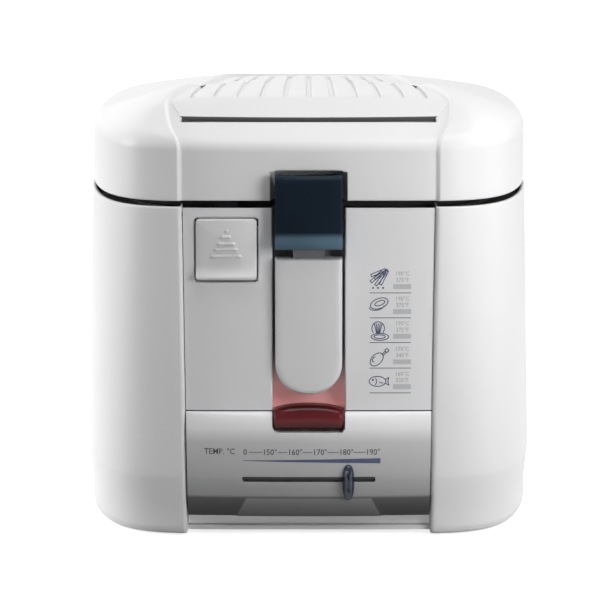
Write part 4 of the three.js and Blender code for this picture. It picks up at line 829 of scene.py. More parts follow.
def loopDistance(x, y, loop):  # signed, and negative inside the loop
    points = np.stack([x.ravel(), y.ravel()], axis=1)
    best = np.full(len(points), 1e9)
    inside = np.zeros(len(points), bool)
    for a, b in zip(loop, np.roll(loop, -1, axis=0)):
        edge = b - a
        length = float(edge @ edge)
        if length < 1e-12:
            continue
        share = np.clip(((points - a) @ edge) / length, 0, 1)
        near = a + share[:, None] * edge
        best = np.minimum(best, np.hypot(*(points - near).T))
        crosses = (a[1] > points[:, 1]) != (b[1] > points[:, 1])
        with np.errstate(divide="ignore", invalid="ignore"):
            at = a[0] + (points[:, 1] - a[1]) * edge[0] / (edge[1] if edge[1] else 1e-9)
        inside ^= crosses & (points[:, 0] < at)
    return np.where(inside, -best, best).reshape(x.shape)


stepLoop = mirrored(stepSide())
pocketLoop = mirrored(pocketSide())


def gaugeAt(x, y):  # share of the way from the lid's middle to its edge
    ax, ay = np.abs(x) / lidForm["half"], np.abs(y) / lidForm["halfDepth"]
    low, high = np.full(np.shape(x), 1e-6), np.full(np.shape(x), 3.0)
    for _ in range(44):
        middle = (low + high) / 2
        outside = (ax / middle) ** body["sidePower"] + (ay / middle) ** 2 > 1
        low, high = np.where(outside, middle, low), np.where(outside, high, middle)
    return (low + high) / 2


def lidTop(x, y):
    share = gaugeAt(x, y)
    edgeY = y / np.maximum(share, 1e-4)
    along = np.clip(edgeY / lidForm["halfDepth"], -1, 1)
    drop = lidForm["frontDrop"] + (lidForm["backDrop"] - lidForm["frontDrop"]) * (along + 1) / 2
    power = lidForm["dome"] + lidForm["frontDome"] * np.maximum(0, -along)
    dome = lidForm["crown"] - drop * np.minimum(share, 1.0) ** power
    rise = (lidForm["creaseHeight"] - lidForm["frontHeight"]) / (lidForm["creaseY"] + lidForm["halfDepth"])
    facet = lidForm["frontHeight"] + rise * (y + lidForm["halfDepth"])
    blend = 0.7  # the ridge between facet and dome is a small radius
    return -np.logaddexp(-dome / blend, -facet / blend) * blend


def edgeDistance(x, y):
    share = gaugeAt(x, y)
    step = 0.05
    slopeX = (gaugeAt(x + step, y) - gaugeAt(x - step, y)) / (2 * step)
    slopeY = (gaugeAt(x, y + step) - gaugeAt(x, y - step)) / (2 * step)
    return np.maximum(1 - share, 0) / np.maximum(np.hypot(slopeX, slopeY), 1e-4)


def loweredShare(distance):  # 1 on the lowered centre, 0 on the raised sides, with a chamfer between
    t = np.clip(distance / lidForm["chamfer"], 0, 1)
    eased = t - 0.07 * np.sin(2 * np.pi * t)
    return 1 - eased


def bothSides(values):
    return [side * value for side in (-1, 1) for value in values]


def lidColumns():
    notch = [19.4, 19.8, 20.05, 20.16, 20.2, 20.3, 20.5, 20.8, 21.2, 22.0, 25.0]
    pocketEnd = [68.5, 70.8, 72.2, 72.9, 73.3, 73.55, 73.65, 74.1, 75.0, 76.2]
    inner = bothSides(notch) + list(np.linspace(-17, 17, 9))
    inner += bothSides(list(np.linspace(29, 66, 12)) + pocketEnd)
    bend = [-3.0, -1.6, -0.9, -0.5, -0.25, -0.05, 0.0, 0.3, 0.7, 1.2, 1.7, 2.1, 2.4, 2.6, 2.9, 3.4, 4.2]
    across = np.cos(np.linspace(math.radians(86), 0, 60)) ** body["cornerPower"]
    outer = [value for value in across * lidForm["half"] if value > 78.0]
    return sorted(inner), bend, outer


def lidRows():
    fine = [0.0, 0.12, 0.4, 0.8, 1.3, 1.9, 2.6, 3.4, 4.2, 5.0, 6.0, 7.5, 9.5]
    front = [-lidForm["halfDepth"] + value for value in fine]
    slot = [cover["slotFrontY"] + value for value in (-1.4, -0.9, -0.55, -0.3, -0.12, 0.0, 0.06, 1.0, 2.2)]
    back = [lidForm["halfDepth"] - value for value in fine[::-1]]
    rear = [cover["back"] + cover["gap"] + value
            for value in (-1.0, -0.1, 0.0, 0.3, 0.8, 1.3, 1.8, 2.3, 2.6, 3.0, 3.8)]
    corner = list(np.linspace(66, 83, 14))
    lines = front + slot + rear + corner + back
    fill = [value for value in np.arange(-139, 140, 3.5) if all(abs(value - other) > 1.2 for other in lines)]
    return np.array(sorted(set(lines + fill)))


def lidPlan():  # where every point of the lid's top stands in plan
    rows = lidRows()
    side = stepSide()
    sideRows = side[1:72]
    border = np.interp(rows, sideRows[:, 1], sideRows[:, 0])
    border = np.where(rows < side[1, 1], side[1, 0], border)
    border = np.where(rows > 71.0, cover["backHalf"] + cover["gap"], border)
    inner, bend, outer = lidColumns()
    reach, margin, outerStart, bendEnd = 76.3, 4.5, 78.0, bend[-1]
    lines = [value / reach * np.minimum(border - margin, reach) for value in inner]
    for way in (-1, 1):
        lines += [way * (border + value) for value in bend]
        start = border + bendEnd
        lines += [way * (start + (lidForm["half"] - start) * (value - outerStart)
                         / (lidForm["half"] - outerStart)) for value in outer]
    lines = sorted(lines, key=lambda line: line[0])
    x = np.stack(lines, axis=1)
    share = np.abs(x) / lidForm["half"]
    ratio = np.sqrt(np.maximum(1 - share ** body["sidePower"], 0))
    gentle = np.clip(0.8 / np.maximum(1 - ratio, 1e-6) - 1, 0, 12)
    t = np.abs(rows)[:, None] / lidForm["halfDepth"]
    y = rows[:, None] * (1 - (1 - ratio) * t ** gentle)
    return x, y, t


def lidSheet():
    step = lidForm["step"]
    x, y, t = lidPlan()
    lowered = loweredShare(loopDistance(x, y, stepLoop))
    y = y + np.where(y < 0, step * lowered * t ** 12, 0)
    lowered = loweredShare(loopDistance(x, y, stepLoop))
    away = np.maximum(edgeDistance(x, y) - np.where(y < 0, step * lowered, 0), 0)
    away[0], away[-1] = 0, 0
    z = lidTop(x, y) - step * lowered - hollowDrop(away, lidForm["round"])
    pocketAway = loopDistance(x, y, pocketLoop)
    z = z - np.where(pocketAway < -0.02, lidForm["pocket"], hollowDrop(pocketAway, 0.45))
    return np.stack([x, y, z], axis=-1)


def lidWall(grid):  # runs round the front and back rows of the lid's top
    ring = np.concatenate([grid[0], grid[-1][::-1][1:-1]])
    low = lidForm["foot"]
    rings = [ring]
    for share in (0.06, 0.2, 0.4, 0.6, 0.78):
        row = ring.copy()
        row[:, 2] = ring[:, 2] + (215.2 - ring[:, 2]) * share / 0.8
        rings.append(row)
    for height in (214.2, 213.1, 212.8, 212.5, 212.25, 212.1, 212.0, 211.96, 211.5, 210.8, 210.1, 209.4, 206,
                   202, 198, low + 1.1):
        row = ring.copy()
        row[:, 2] = height
        rings.append(row)
    for rise, inward in ((0.75, 0.08), (0.4, 0.3), (0.12, 0.65), (0.0, 1.1), (0.05, 1.9), (0.4, 2.4),
                         (3.4, 2.4)):
        row = ring.copy()
        row[:, :2] *= (1 - inward / np.maximum(np.hypot(ring[:, 0], ring[:, 1]), 1))[:, None]
        row[:, 2] = low + rise
        rings.append(row)
    wall = np.array(rings)
    half = lidForm["notchHalf"]
    notch = {"x0": -half, "x1": half, "z0": 150.0, "z1": 212.0, "corner": 2.6}
    away = boxDistance(wall[..., 0], wall[..., 2], notch)
    front = np.zeros(wall.shape[:2], bool)
    front[:, :len(grid[0])] = True
    low = front & (wall[..., 2] < 214)
    wall[..., 1] += np.where(low & (away >= -0.02), hollowDrop(away, 0.8), 0)
    wall[..., 1] = np.where(low & (away < -0.02), lidForm["notchFloorY"], wall[..., 1])
    return wall


def makeLid():
    grid = lidSheet()
    verts, faces = joinSheets(sheetOf(grid), sheetOf(lidWall(grid), closed=True))
    piece = newPiece("lid_top", verts, faces, lidWhite, "lid", 34, ["lid_shell"], "white_plastic")
    piece.data.materials.append(ventGrey)
    piece.data.materials.append(channelGrey)
    form = bmesh.new()  # the throat above the filter is open
    form.from_mesh(piece.data)
    middles = np.array([list(face.calc_center_median()) for face in form.faces]) / mm
    throat = (loopDistance(middles[:, 0], middles[:, 1], pocketLoop) < -6.0) & (middles[:, 2] > 225)
    form.faces.ensure_lookup_table()
    bmesh.ops.delete(form, geom=[form.faces[int(index)] for index in np.nonzero(throat)[0]], context="FACES")
    form.to_mesh(piece.data)
    form.free()
    for polygon in piece.data.polygons:
        middle = polygon.center / mm
        sunk = float(lidTop(np.array([middle.x]), np.array([middle.y]))[0]) - middle.z
        if sunk > 4.2 and abs(middle.x) < 82 and -127.3 < middle.y < 85 and middle.z > 225:
            polygon.material_index = 1
        if abs(middle.x) < lidForm["notchHalf"] + 0.02 and -146.6 < middle.y < -130 and middle.z < 212.6:
            polygon.material_index = 2


hinge = {"y": 159.2, "z": 198.0, "radius": 4.0, "pin": 2.15, "near": 38.4, "far": 51.6, "rootY": 147.5}


def makeLug(side):
    y, z, radius, rootY = hinge["y"], hinge["z"], hinge["radius"], hinge["rootY"]
    outline = [(rootY, z + radius)]
    outline += [(y + radius * math.cos(angle), z + radius * math.sin(angle))
                for angle in np.linspace(math.pi / 2, -math.pi * 0.8, 26)]
    outline += [(151.0, z - 1.0), (rootY, z - 1.0)]
    verts, faces = prismAlong("x", outline, *sorted((side * hinge["near"], side * hinge["far"])))
    lug = newPiece("lid_lug_" + ("right" if side > 0 else "left"), verts, faces, lidWhite, "lid", 34,
                   slot="white_plastic")
    cutAway(lug, *prismAlong("x", circle(y, z, hinge["pin"]), -60, 60))
    bevelled(lug, 0.4, 2, 50)
    applyAll(lug, 34)


makeLid()
makeLug(-1)
makeLug(1)
print("lid ready")


# The filter cover is a thin plate with pressed grooves that close up towards its back.
grooves = {"count": 11, "pitch": 13.5, "backPitch": 10.4, "front": -100.5, "back": 66.0, "half": 1.5,
           "depth": 2.1}


def coverHalfAt(y):
    side = coverSide(0.0)[:55]
    front = cover["frontY"] + cover["spread"]
    share = (y - front) / (cover["wideY"] - front)
    flare = cover["frontHalf"] + (cover["half"] - cover["frontHalf"]) * share
    return np.where(y < cover["wideY"], flare, np.interp(y, side[:, 1], side[:, 0]))


def eased(share):
    return share * share * (3 - 2 * share)


def coverRows():
    rows = [cover["frontY"] + cover["spread"] + value for value in (0.0, 0.5, 1.2, 2.2, 3.4, 5.0)]
    rows += list(np.arange(-114, -103, 2.5))
    rows += [grooves["front"] + value for value in (-1.2, -0.4, 0.3, 1.0, 1.8, 2.6, 3.4, 5)]
    rows += list(np.arange(-92, 60, 4.0)) + [grooves["back"] + value for value in (-5, -3, -2, -1, 0, 1)]
    rows += [70, 72, 74, 76, 78, 79.5, 81, 82.2, 83.1, 83.7, cover["back"]]
    return np.array(sorted(set(round(float(value), 3) for value in rows)))


def coverSheet():
    rows = coverRows()
    middles = [index - (grooves["count"] - 1) / 2 for index in range(grooves["count"])]
    across = (-0.16, -0.125, -0.105, -0.085, -0.05, 0, 0.05, 0.085, 0.105, 0.125, 0.16, 0.33, 0.5, 0.67)
    places = np.array(sorted(middle + value for middle in middles for value in across)[:-3])
    along = (rows - grooves["front"]) / (grooves["back"] - grooves["front"])
    pitch = grooves["pitch"] + (grooves["backPitch"] - grooves["pitch"]) * np.clip(along, 0, 1.1) ** 1.4
    half = coverHalfAt(rows)
    fit = np.minimum(1.0, (half - 1.6) / (places.max() * pitch))
    x = places[None, :] * pitch[:, None] * fit[:, None]
    borders = [half - 1.0, half - 0.45, half - 0.15, half]
    x = np.concatenate([-np.stack(borders[::-1], 1), x, np.stack(borders, 1)], axis=1)
    y = np.repeat(rows[:, None], x.shape[1], axis=1)
    bow = cover["spread"] * (1 - (x / cover["frontHalf"]) ** 2)
    y = y - bow * np.clip((-108 - y) / (-108 - (cover["frontY"] + cover["spread"])), 0, 1)
    z = lidTop(x, y) - lidForm["step"] + cover["stand"]
    groove = np.zeros(x.shape)
    for middle in middles:
        off = np.abs(x - (middle * pitch * fit)[:, None])
        groove = np.maximum(groove, np.clip((grooves["half"] + 0.35 - off) / 0.7, 0, 1))
    rimAway = np.minimum(half[:, None] - np.abs(x), np.minimum(y - y[0][None, :], cover["back"] - y))
    frontEase = eased(np.clip((y - grooves["front"] + 0.8) / 1.6, 0, 1))
    backEase = eased(np.clip((grooves["back"] - y) / 4.0, 0, 1))
    sideEase = eased(np.clip((rimAway - 1.6) / 2.5, 0, 1))
    z = z - grooves["depth"] * eased(groove) * frontEase * backEase * sideEase
    z = z - hollowDrop(np.maximum(rimAway, 0), 0.5)
    return np.stack([x, y, z], axis=-1)


def makeCover():
    grid = coverSheet()
    ring = np.concatenate([grid[0], grid[1:-1, -1], grid[-1][::-1], grid[1:-1, 0][::-1]])
    low = ring - [0.0, 0.0, cover["wall"] - 0.5]
    lower = low * [0.985, 0.985, 1.0] - [0.0, 0.0, 0.15]
    skirt = sheetOf(np.stack([ring, low, lower]), closed=True)
    under = grid.copy()
    under[..., 2] = lidTop(under[..., 0], under[..., 1]) - lidForm["step"] - cover["wall"]
    under[..., 0] *= 0.98
    verts, faces = joinSheets(sheetOf(grid), skirt, sheetOf(under))
    plate = newPiece("filter_plate", verts, faces, lidWhite, "cover", 38, ["filter_cover"], "white_plastic")
    plate.data.materials.append(darkMoulding)
    # The front edge is painted dark as painted shade of the outlet slot under it.
    for polygon in plate.data.polygons:  # the edge over the outlet slot is dark
        if polygon.center.y / mm < -119 and polygon.normal.y < -0.8:
            polygon.material_index = 1


makeCover()
print("filter cover ready")


button = {
    "x0": -64.5,
    "x1": -29.7,
    "top": 184.5,
    "foot": 149.5,
    "faceY": -149.6,
    "lipY": -153.1,
    "lipTall": 6.5,
    "corner": 2.2,
    "pivot": (-143.9, 181.7),
    "pivotRadius": 2,
    "bars": [(174.2, 3.0), (170.4, 5.2), (167.1, 7.1), (163.2, 9.3)],  # height, half length
    "barTall": 2.4,
    "barProud": 1.6,
    "barDip": 0.35,  # a bar's ends lie this much lower for each 9 mm of its half length
    "tip": (177.6, 1.35, 1.15, 0.8),  # height, half width, half height and proud of the dot over the bars
    "sunk": 0.15,
}


def buttonProfile():  # the side view, whose lip flares out at the foot
    face, lip, top, foot = button["faceY"], button["lipY"], button["top"], button["foot"]
    side = [(face + 5, top), (face + 0.9, top), (face + 0.3, top - 0.3), (face, top - 1.0)]
    for t in np.linspace(0, 1, 9):
        side.append((face + (lip - face) * t ** 1.6,
                     foot + button["lipTall"] + 2.0 - (button["lipTall"] + 0.2) * t))
    return side + [(lip + 0.1, foot + 1.0), (lip + 0.7, foot + 0.25), (lip + 1.7, foot),
                   (face + 1.8, foot + 0.3), (face + 4.0, foot + 3.0), (face + 5.0, foot + 5.0)]


def roundButtonCorners(plate):
    turn = button["corner"]
    for side, cornerX in ((-1, button["x0"]), (1, button["x1"])):
        for end, cornerZ in ((-1, button["foot"]), (1, button["top"])):
            loop = [(cornerX + side, cornerZ + end), (cornerX + side, cornerZ - end * turn)]
            loop += [(cornerX - side * turn * (1 - math.cos(angle)),
                      cornerZ - end * turn * (1 - math.sin(angle))) for angle in quarterTurn(6)]
            loop.append((cornerX - side * turn, cornerZ + end))
            cutAway(plate, *prismAlong("y", loop, -170.0, -135.0))


def raisedBar(middle, height, half):
    tall, sunk = button["barTall"] / 2, button["sunk"]
    rows = []
    for end in np.linspace(-1, 1, 15):
        past = max(abs(end) * half - half + tall, 0)
        girth = math.sqrt(max(1 - past ** 2 / tall ** 2, 0.0))
        low = height - button["barDip"] * end ** 2 * half / 9
        rows.append([(middle + end * half,
                      button["faceY"] + sunk - (button["barProud"] + sunk) * math.sin(turn) * girth,
                      low + tall * math.cos(turn) * max(girth, 0.05))
                     for turn in np.linspace(0, math.pi, 9)])
    return sheetOf(np.array(rows))


def makeButton():
    verts, faces = prismAlong("x", buttonProfile(), button["x0"], button["x1"])
    plate = newPiece("lid_button", verts, faces, buttonSilver, "button", 30, ["release_button"],
                     "pale_plastic")
    roundButtonCorners(plate)
    bevelled(plate, 0.6, 3, 50)
    applyAll(plate, 40)
    middle = (button["x0"] + button["x1"]) / 2
    bars = [raisedBar(middle, height, half) for height, half in button["bars"]]
    height, halfWide, halfTall, proud = button["tip"]
    tip = [[(middle + share * halfWide * math.cos(angle),
             button["faceY"] + button["sunk"] - proud * math.sqrt(max(1 - share * share, 0)),
             height + share * halfTall * math.sin(angle)) for angle in np.linspace(0, 2 * math.pi, 17)]
           for share in (1, 0.8, 0.5, 0.01)]
    verts, faces = joinSheets(*bars, sheetOf(np.array(tip)))
    newPiece("button_arrow", verts, faces, buttonSilver, "button", 60, slot="pale_plastic")
    loop = circle(*button["pivot"], button["pivotRadius"], 24)
    verts, faces = prismAlong("x", loop, button["x0"] - 4, button["x1"] + 4)
    stub = newPiece("button_trunnion", verts, faces, darkMoulding, "button", 40, slot="pale_plastic")
    bevelled(stub, 0.3, 2, 50)


makeButton()

grip = {"half": 19.2, "foot": 83.4, "top": 162.2, "endTall": 18.0, "frontY": -155.0, "backY": -142.0,
        "pivot": (-147.0, 199.5), "armHalf": 9.0, "hub": 5.5, "pin": 2.15}


def gripOutline():
    half, foot, end = grip["half"], grip["foot"], grip["foot"] + grip["endTall"]
    left = bezier([(-half, end), (-half, foot + 7.0), (-half + 8.7, foot), (0, foot)], 26)
    right = (left * [-1, 1])[::-1]
    return np.concatenate([[(half, grip["top"]), (-half, grip["top"])], left, right[1:]])


def makeGrip():
    loop = gripOutline()
    front, back = grip["frontY"], grip["backY"]
    profile = [(back + 0.9, 1.2), (back, 0.9), (back - 0.5, 0.25), (back - 1.2, 0.0), (front + 3.0, 0.0),
               (front + 1.9, 0.22), (front + 1.0, 0.8), (front + 0.45, 1.6), (front + 0.15, 2.7),
               (front, 4.4)]
    rings = []
    for y, inset in profile:
        low, high = grip["foot"] + inset, grip["top"] - min(inset, 0.7)
        z = low + (loop[:, 1] - grip["foot"]) / (grip["top"] - grip["foot"]) * (high - low)
        rings.append(np.stack([loop[:, 0] * (grip["half"] - inset) / grip["half"], np.full(len(loop), y), z],
                              axis=1))
    verts, faces = sheetOf(np.array(rings), closed=True)
    faces.append(tuple(range(len(loop))))
    faces.append(tuple(range(len(verts) - 1, len(verts) - len(loop) - 1, -1)))
    newPiece("handle_bar", verts, faces, gripSilver, "handle", 44, ["handle_grip"], "silver_plastic")
    y, z = grip["pivot"]
    hub = grip["hub"]
    arm = [(y - hub, grip["top"] - 1), (y + 5, grip["top"] - 1), (y + 5, z)]
    arm += [(y + hub * math.cos(angle), z + hub * math.sin(angle)) for angle in np.linspace(0, math.pi, 20)]
    verts, faces = prismAlong("x", arm, -grip["armHalf"], grip["armHalf"])
    neck = newPiece("handle_neck", verts, faces, ventGrey, "handle", 34, slot="silver_plastic")
    cutAway(neck, *prismAlong("x", circle(y, z, grip["pin"]), -20, 20))
    bevelled(neck, 0.5, 2, 50)


makeGrip()

cursor = {"half": 19.2, "foot": 168.0, "frontY": -157.0, "lipY": -159.5, "top": 209.9, "round": 4.5,
          "lipTall": 6.7, "wall": 2.2, "neckHalf": 9.8, "earHalf": 13.6}


def cursorProfile():
    pivotY, pivotZ = grip["pivot"]
    front, lip, top, foot = cursor["frontY"], cursor["lipY"], cursor["top"], cursor["foot"]
    turn, back = cursor["round"], pivotY + 2
    flare = foot + cursor["lipTall"] + 2
    side = [(back, top), (front + turn + 6, top)]
    side += [(front + turn - turn * math.sin(bend), top - turn + turn * math.cos(bend))
             for bend in quarterTurn(8)]
    side.append((front, flare + 1))
    side += [(front + (lip - front) * (1 - math.cos(math.pi * t)) / 2, flare - (cursor["lipTall"] - 0.4) * t)
             for t in np.linspace(0, 1, 9)[1:]]
    return side + [(lip, foot + 1.1), (lip + 0.35, foot + 0.35), (lip + 1.2, foot), (pivotY + 5, foot),
                   (pivotY + 5, pivotZ - 8.5), (back, pivotZ - 5.5)]


def makeCursor():
    pivotY, pivotZ = grip["pivot"]
    verts, faces = prismAlong("x", cursorProfile(), -cursor["half"], cursor["half"])
    cap = newPiece("slide_cap", verts, faces, cursorNavy, "cursor", 34, ["handle_cursor"], "navy_plastic")
    neck, ear, wall = cursor["neckHalf"], cursor["earHalf"], cursor["wall"]
    inside, away = cursor["top"] - wall, 400
    cutAway(cap, *blockMesh(-neck, neck, pivotY - 5.8, away, cursor["foot"] - 1, inside))
    cutAway(cap, *blockMesh(-ear, ear, cursor["frontY"] + wall, away, pivotZ - 15.5, inside))
    cutAway(cap, *blockMesh(-ear, ear, pivotY - 5.2, away, pivotZ, away))
    bevelled(cap, 1.0, 4, 50)
    applyAll(cap, 34)


makeCursor()

knob = {"x": 22.8, "z": 32.9, "half": 3.6, "halfTall": 10.4, "proud": 5.6, "baseLift": 0.25, "count": 40}


def makeKnob():  # a narrow pointed oval that rises to a rounded ridge
    face = float(controlFace(knob["x"], knob["z"]))
    rings = []
    for share, lift in ((1.0, 0.0), (1.0, 0.5), (0.985, 0.9), (0.93, 1.7), (0.80, 3.0), (0.62, 4.2),
                        (0.40, 5.05), (0.2, 5.45), (0.02, knob["proud"])):
        ring = []
        for angle in np.linspace(0, 2 * math.pi, knob["count"] + 1)[:-1]:
            z = knob["z"] + knob["halfTall"] * math.sin(angle) * (share + (1 - share) * 0.25)
            narrow = math.copysign(abs(math.cos(angle)) ** 0.72, math.cos(angle))
            local = max(float(controlFace(knob["x"], z)), face - 3)
            tip = max(1 - abs(math.sin(angle)) ** 6 * 0.45 * lift / knob["proud"], 0)
            x = knob["x"] + knob["half"] * narrow * share
            ring.append((x, local - knob["baseLift"] - lift * tip, z))
        rings.append(ring)
    verts, faces = sheetOf(np.array(rings), closed=True)
    faces.append(tuple(range(len(verts) - knob["count"], len(verts))))
    newPiece("slider_cap", verts, faces, knobNavy, "slider", 60, ["slider_knob"], "navy_plastic")
    neck = blockMesh(knob["x"] - 0.9, knob["x"] + 0.9, face - 1, face + 9, 33.6, 35.4)
    carriage = blockMesh(knob["x"] - 8, knob["x"] + 8, face + 5.5, face + 9, 29.5, 39.5)
    stem = newPiece("slider_stem", *joinSheets(neck, carriage), darkMoulding, "slider", 34,
                    slot="navy_plastic")
    bevelled(stem, 0.25, 2, 50)


makeKnob()
print("controls ready")


# Printed marks are flat shapes laid just over a surface.
def layOn(form, name, finish):  # turns every face outwards and makes the piece
    for face in form.faces:
        face.normal_update()
        if face.normal.y > 0:
            face.normal_flip()
    mesh = bpy.data.meshes.new(name)
    form.to_mesh(mesh)
    form.free()
    placePiece(name, mesh, finish, "housing", 40)


def decal(name, outlines, surface, finish, step=2.0, lift=0.09):  # closed loops in x and z
    flat = bmesh.new()
    for loop in outlines:
        flat.faces.new([flat.verts.new((x * mm, 0, z * mm)) for x, z in loop])
    low = min(vert.co.x for vert in flat.verts) / mm
    high = max(vert.co.x for vert in flat.verts) / mm
    for at in spread(low, high, step)[1:]:
        bmesh.ops.bisect_plane(flat, geom=flat.verts[:] + flat.edges[:] + flat.faces[:],
                               plane_co=(at * mm, 0, 0), plane_no=(1, 0, 0))
    for vert in flat.verts:
        vert.co.y = (float(surface(vert.co.x / mm, vert.co.z / mm)) - lift) * mm
    layOn(flat, name, finish)


def bar(x0, x1, z0, z1):
    return [(x0, z0), (x1, z0), (x1, z1), (x0, z1)]


letters = {"capHeight": 0.7, "narrow": 0.92, "weight": 0.009}


def lettering(name, words, surface, finish, lift=0.1):  # words: text, height, middle's x and z
    shapes = bmesh.new()
    for text, tall, x, z in words:
        curve = bpy.data.curves.new(name, "FONT")
        curve.body = text
        curve.size = tall / letters["capHeight"]
        curve.align_x = "CENTER"
        curve.align_y = "CENTER"
        curve.resolution_u = 2
        curve.offset = tall * letters["weight"]
        holder = bpy.data.objects.new(name, curve)
        made = bpy.data.meshes.new_from_object(holder)
        for vert in made.vertices:
            vert.co = (vert.co.x * letters["narrow"] + x, 0, vert.co.y + z)
        shapes.from_mesh(made)
        bpy.data.objects.remove(holder)
        bpy.data.curves.remove(curve)
        bpy.data.meshes.remove(made)
    for vert in shapes.verts:
        x, z = vert.co.x, vert.co.z
        vert.co = (x * mm, (float(surface(x, z)) - lift) * mm, z * mm)
    layOn(shapes, name, finish)


# A dark strip is painted where the gap over the control panel lies in shade.
seam = {"near": 20.9, "far": 71.2, "foot": 73.1, "top": 74.0}  # the gap over the control panel


def makeSeam():
    loops = [bar(x0, x1, seam["foot"], seam["top"])
             for x0, x1 in ((-seam["far"], -seam["near"]), (seam["near"], seam["far"]))]
    decal("panel_seam_shade", loops, panelFace, darkMoulding, lift=0.08)


makeSeam()

scale = {
    "z": 50.5,
    "marks": [("0", -36.5), ("150°", -22.3), ("160°", -7.8), ("170°", 6.5), ("180°", 21.6),
              ("190°", 36.9)],
    "title": ("TEMP. °C", -51.2),
    "tall": 3.4,
    "wedge": (-37.6, 41.2, 45.5, 1.5),  # its two ends, its height, and half its thick end
}


def makeScale():
    z, tall = scale["z"], scale["tall"]
    words = [(text, tall, x, z) for text, x in scale["marks"]]
    words.append((scale["title"][0], tall, scale["title"][1], z + 0.2))
    lettering("scale_numbers", words, controlFace, printDark)
    xs = [x for _, x in scale["marks"]]
    dashes = [bar(a + (2.2 if a == xs[0] else 4.3), b - 4.4, z - 0.15, z + 0.2)
              for a, b in zip(xs[:-1], xs[1:])]
    decal("scale_dashes", dashes, controlFace, printDark)
    x0, x1, z, thick = scale["wedge"]
    wedge = [(x0, z - 0.1), (x1, z - thick), (x1, z + thick), (x0, z + 0.2)]
    decal("scale_wedge", [wedge], controlFace, printNavy)


makeScale()


def strokes(points, width):  # a drawn line as short bars
    out = []
    for (x0, z0), (x1, z1) in zip(points[:-1], points[1:]):
        length = math.hypot(x1 - x0, z1 - z0)
        if length < 1e-6:
            continue
        nx, nz = -(z1 - z0) / length * width / 2, (x1 - x0) / length * width / 2
        ex, ez = (x1 - x0) / length * width / 3, (z1 - z0) / length * width / 3
        out.append([(x0 - ex + nx, z0 - ez + nz), (x0 - ex - nx, z0 - ez - nz),
                    (x1 + ex - nx, z1 + ez - nz), (x1 + ex + nx, z1 + ez + nz)])
    return out


def ovalLine(x, z, halfX, halfZ, lean=0.0, start=0, end=360, count=22):
    out = []
    for angle in np.radians(np.linspace(start, end, count)):
        a, b = halfX * math.cos(angle), halfZ * math.sin(angle)
        out.append((x + a * math.cos(lean) - b * math.sin(lean),
                    z + a * math.sin(lean) + b * math.cos(lean)))
    return out


def dot(x, z, radius):
    return ovalLine(x, z, radius, radius, count=8)


foods = {
    "iconX": 40.4,
    "rows": [150.2, 135.8, 119.5, 104.4, 90.7],
    "lines": [141.9, 127.5, 113.2, 98.4, 84.0],
    "left": 34.9,
    "right": 58.6,
    "barLeft": 48.4,
    "numberX": 53.6,
    "numberTall": 2.4,
    "temperatures": [("190", "375"), ("190", "375"), ("190", "375"), ("170", "340"), ("160", "320")],
}


def foodIcons():  # plain outlines, one food to a row
    x = foods["iconX"]
    chips, ring, shellfish, drumstick, fish = foods["rows"]
    lines = []
    for lean, dx, dz in ((0.75, -1.6, 1.0), (0.9, 0.6, -0.4), (0.6, 1.0, 2.4), (1.1, 2.6, 0.4),
                         (0.4, -0.6, 3.4)):
        c, s = math.cos(lean), math.sin(lean)
        box = [(-4.4, -0.7), (4.4, -0.7), (4.4, 0.7), (-4.4, 0.7), (-4.4, -0.7)]
        lines.append([(x + dx + a * c - b * s, chips + dz + a * s + b * c) for a, b in box])
    lines += [dot(x + d, chips - 5.4, 0.3) for d in (-3.6, -0.8, 2.2)]
    z = ring
    lines += [ovalLine(x, z, 5.3, 2.9, 0.35), ovalLine(x + 0.3, z + 0.2, 3.0, 1.3, 0.35),
              ovalLine(x - 1.4, z - 1.9, 4.2, 1.9, 0.2, 170, 350)]
    z = shellfish
    lines += [ovalLine(x - 0.6, z + 1.9, 3.6, 3.8, 0, -40, 220), ovalLine(x + 0.4, z - 3.0, 5.0, 2.0),
              ovalLine(x + 0.2, z - 2.9, 3.2, 1.1)]
    lines += [[(x - 0.6 + d * 0.5, z - 1.0), (x - 0.6 + d * 1.3, z + 4.6)]
              for d in (-1.7, -0.9, 0, 0.9, 1.7)]
    z = drumstick
    lines += [ovalLine(x - 1.4, z - 1.0, 4.5, 2.9, 0.8), [(x + 1.5, z + 2.0), (x + 3.6, z + 3.9)],
              [(x + 2.2, z + 1.2), (x + 4.3, z + 3.3)], ovalLine(x + 4.4, z + 4.2, 1.0, 1.0),
              ovalLine(x - 2.4, z - 0.8, 1.9, 1.1, 0.8, 60, 220)]
    z = fish
    tail = [(x + 3.4, z + 1.0), (x + 5.6, z + 2.2), (x + 5.0, z), (x + 5.6, z - 2.2), (x + 3.4, z - 1.0)]
    lines += [ovalLine(x - 0.9, z, 4.8, 2.9), tail, dot(x - 3.6, z + 0.8, 0.35),
              ovalLine(x - 2.4, z, 0.9, 2.0, 0, -70, 70, 8), [(x + 0.2, z - 0.6), (x + 2.2, z - 1.0)]]
    return lines


def makeFoodTable():
    loops = [loop for line in foodIcons() for loop in strokes(line, 0.5)]
    decal("food_icons", loops, panelFace, printNavy, step=4.0)
    lines = [bar(foods["left"], foods["right"], z - 0.2, z + 0.2) for z in foods["lines"]]
    decal("food_lines", lines, panelFace, printDark, lift=0.1)
    words, bars = [], []
    for (celsius, fahrenheit), z in zip(foods["temperatures"], foods["lines"]):
        words += [(celsius + "°C", foods["numberTall"], foods["numberX"], z + 11.0),
                  (fahrenheit + "°F", foods["numberTall"], foods["numberX"], z + 7.3)]
        bars.append(bar(foods["barLeft"], foods["right"], z + 2.2, z + 5.0))
    lettering("food_numbers", words, panelFace, printGrey)
    decal("food_bars", bars, panelFace, printPale, lift=0.08)


makeFoodTable()
print("marks ready")


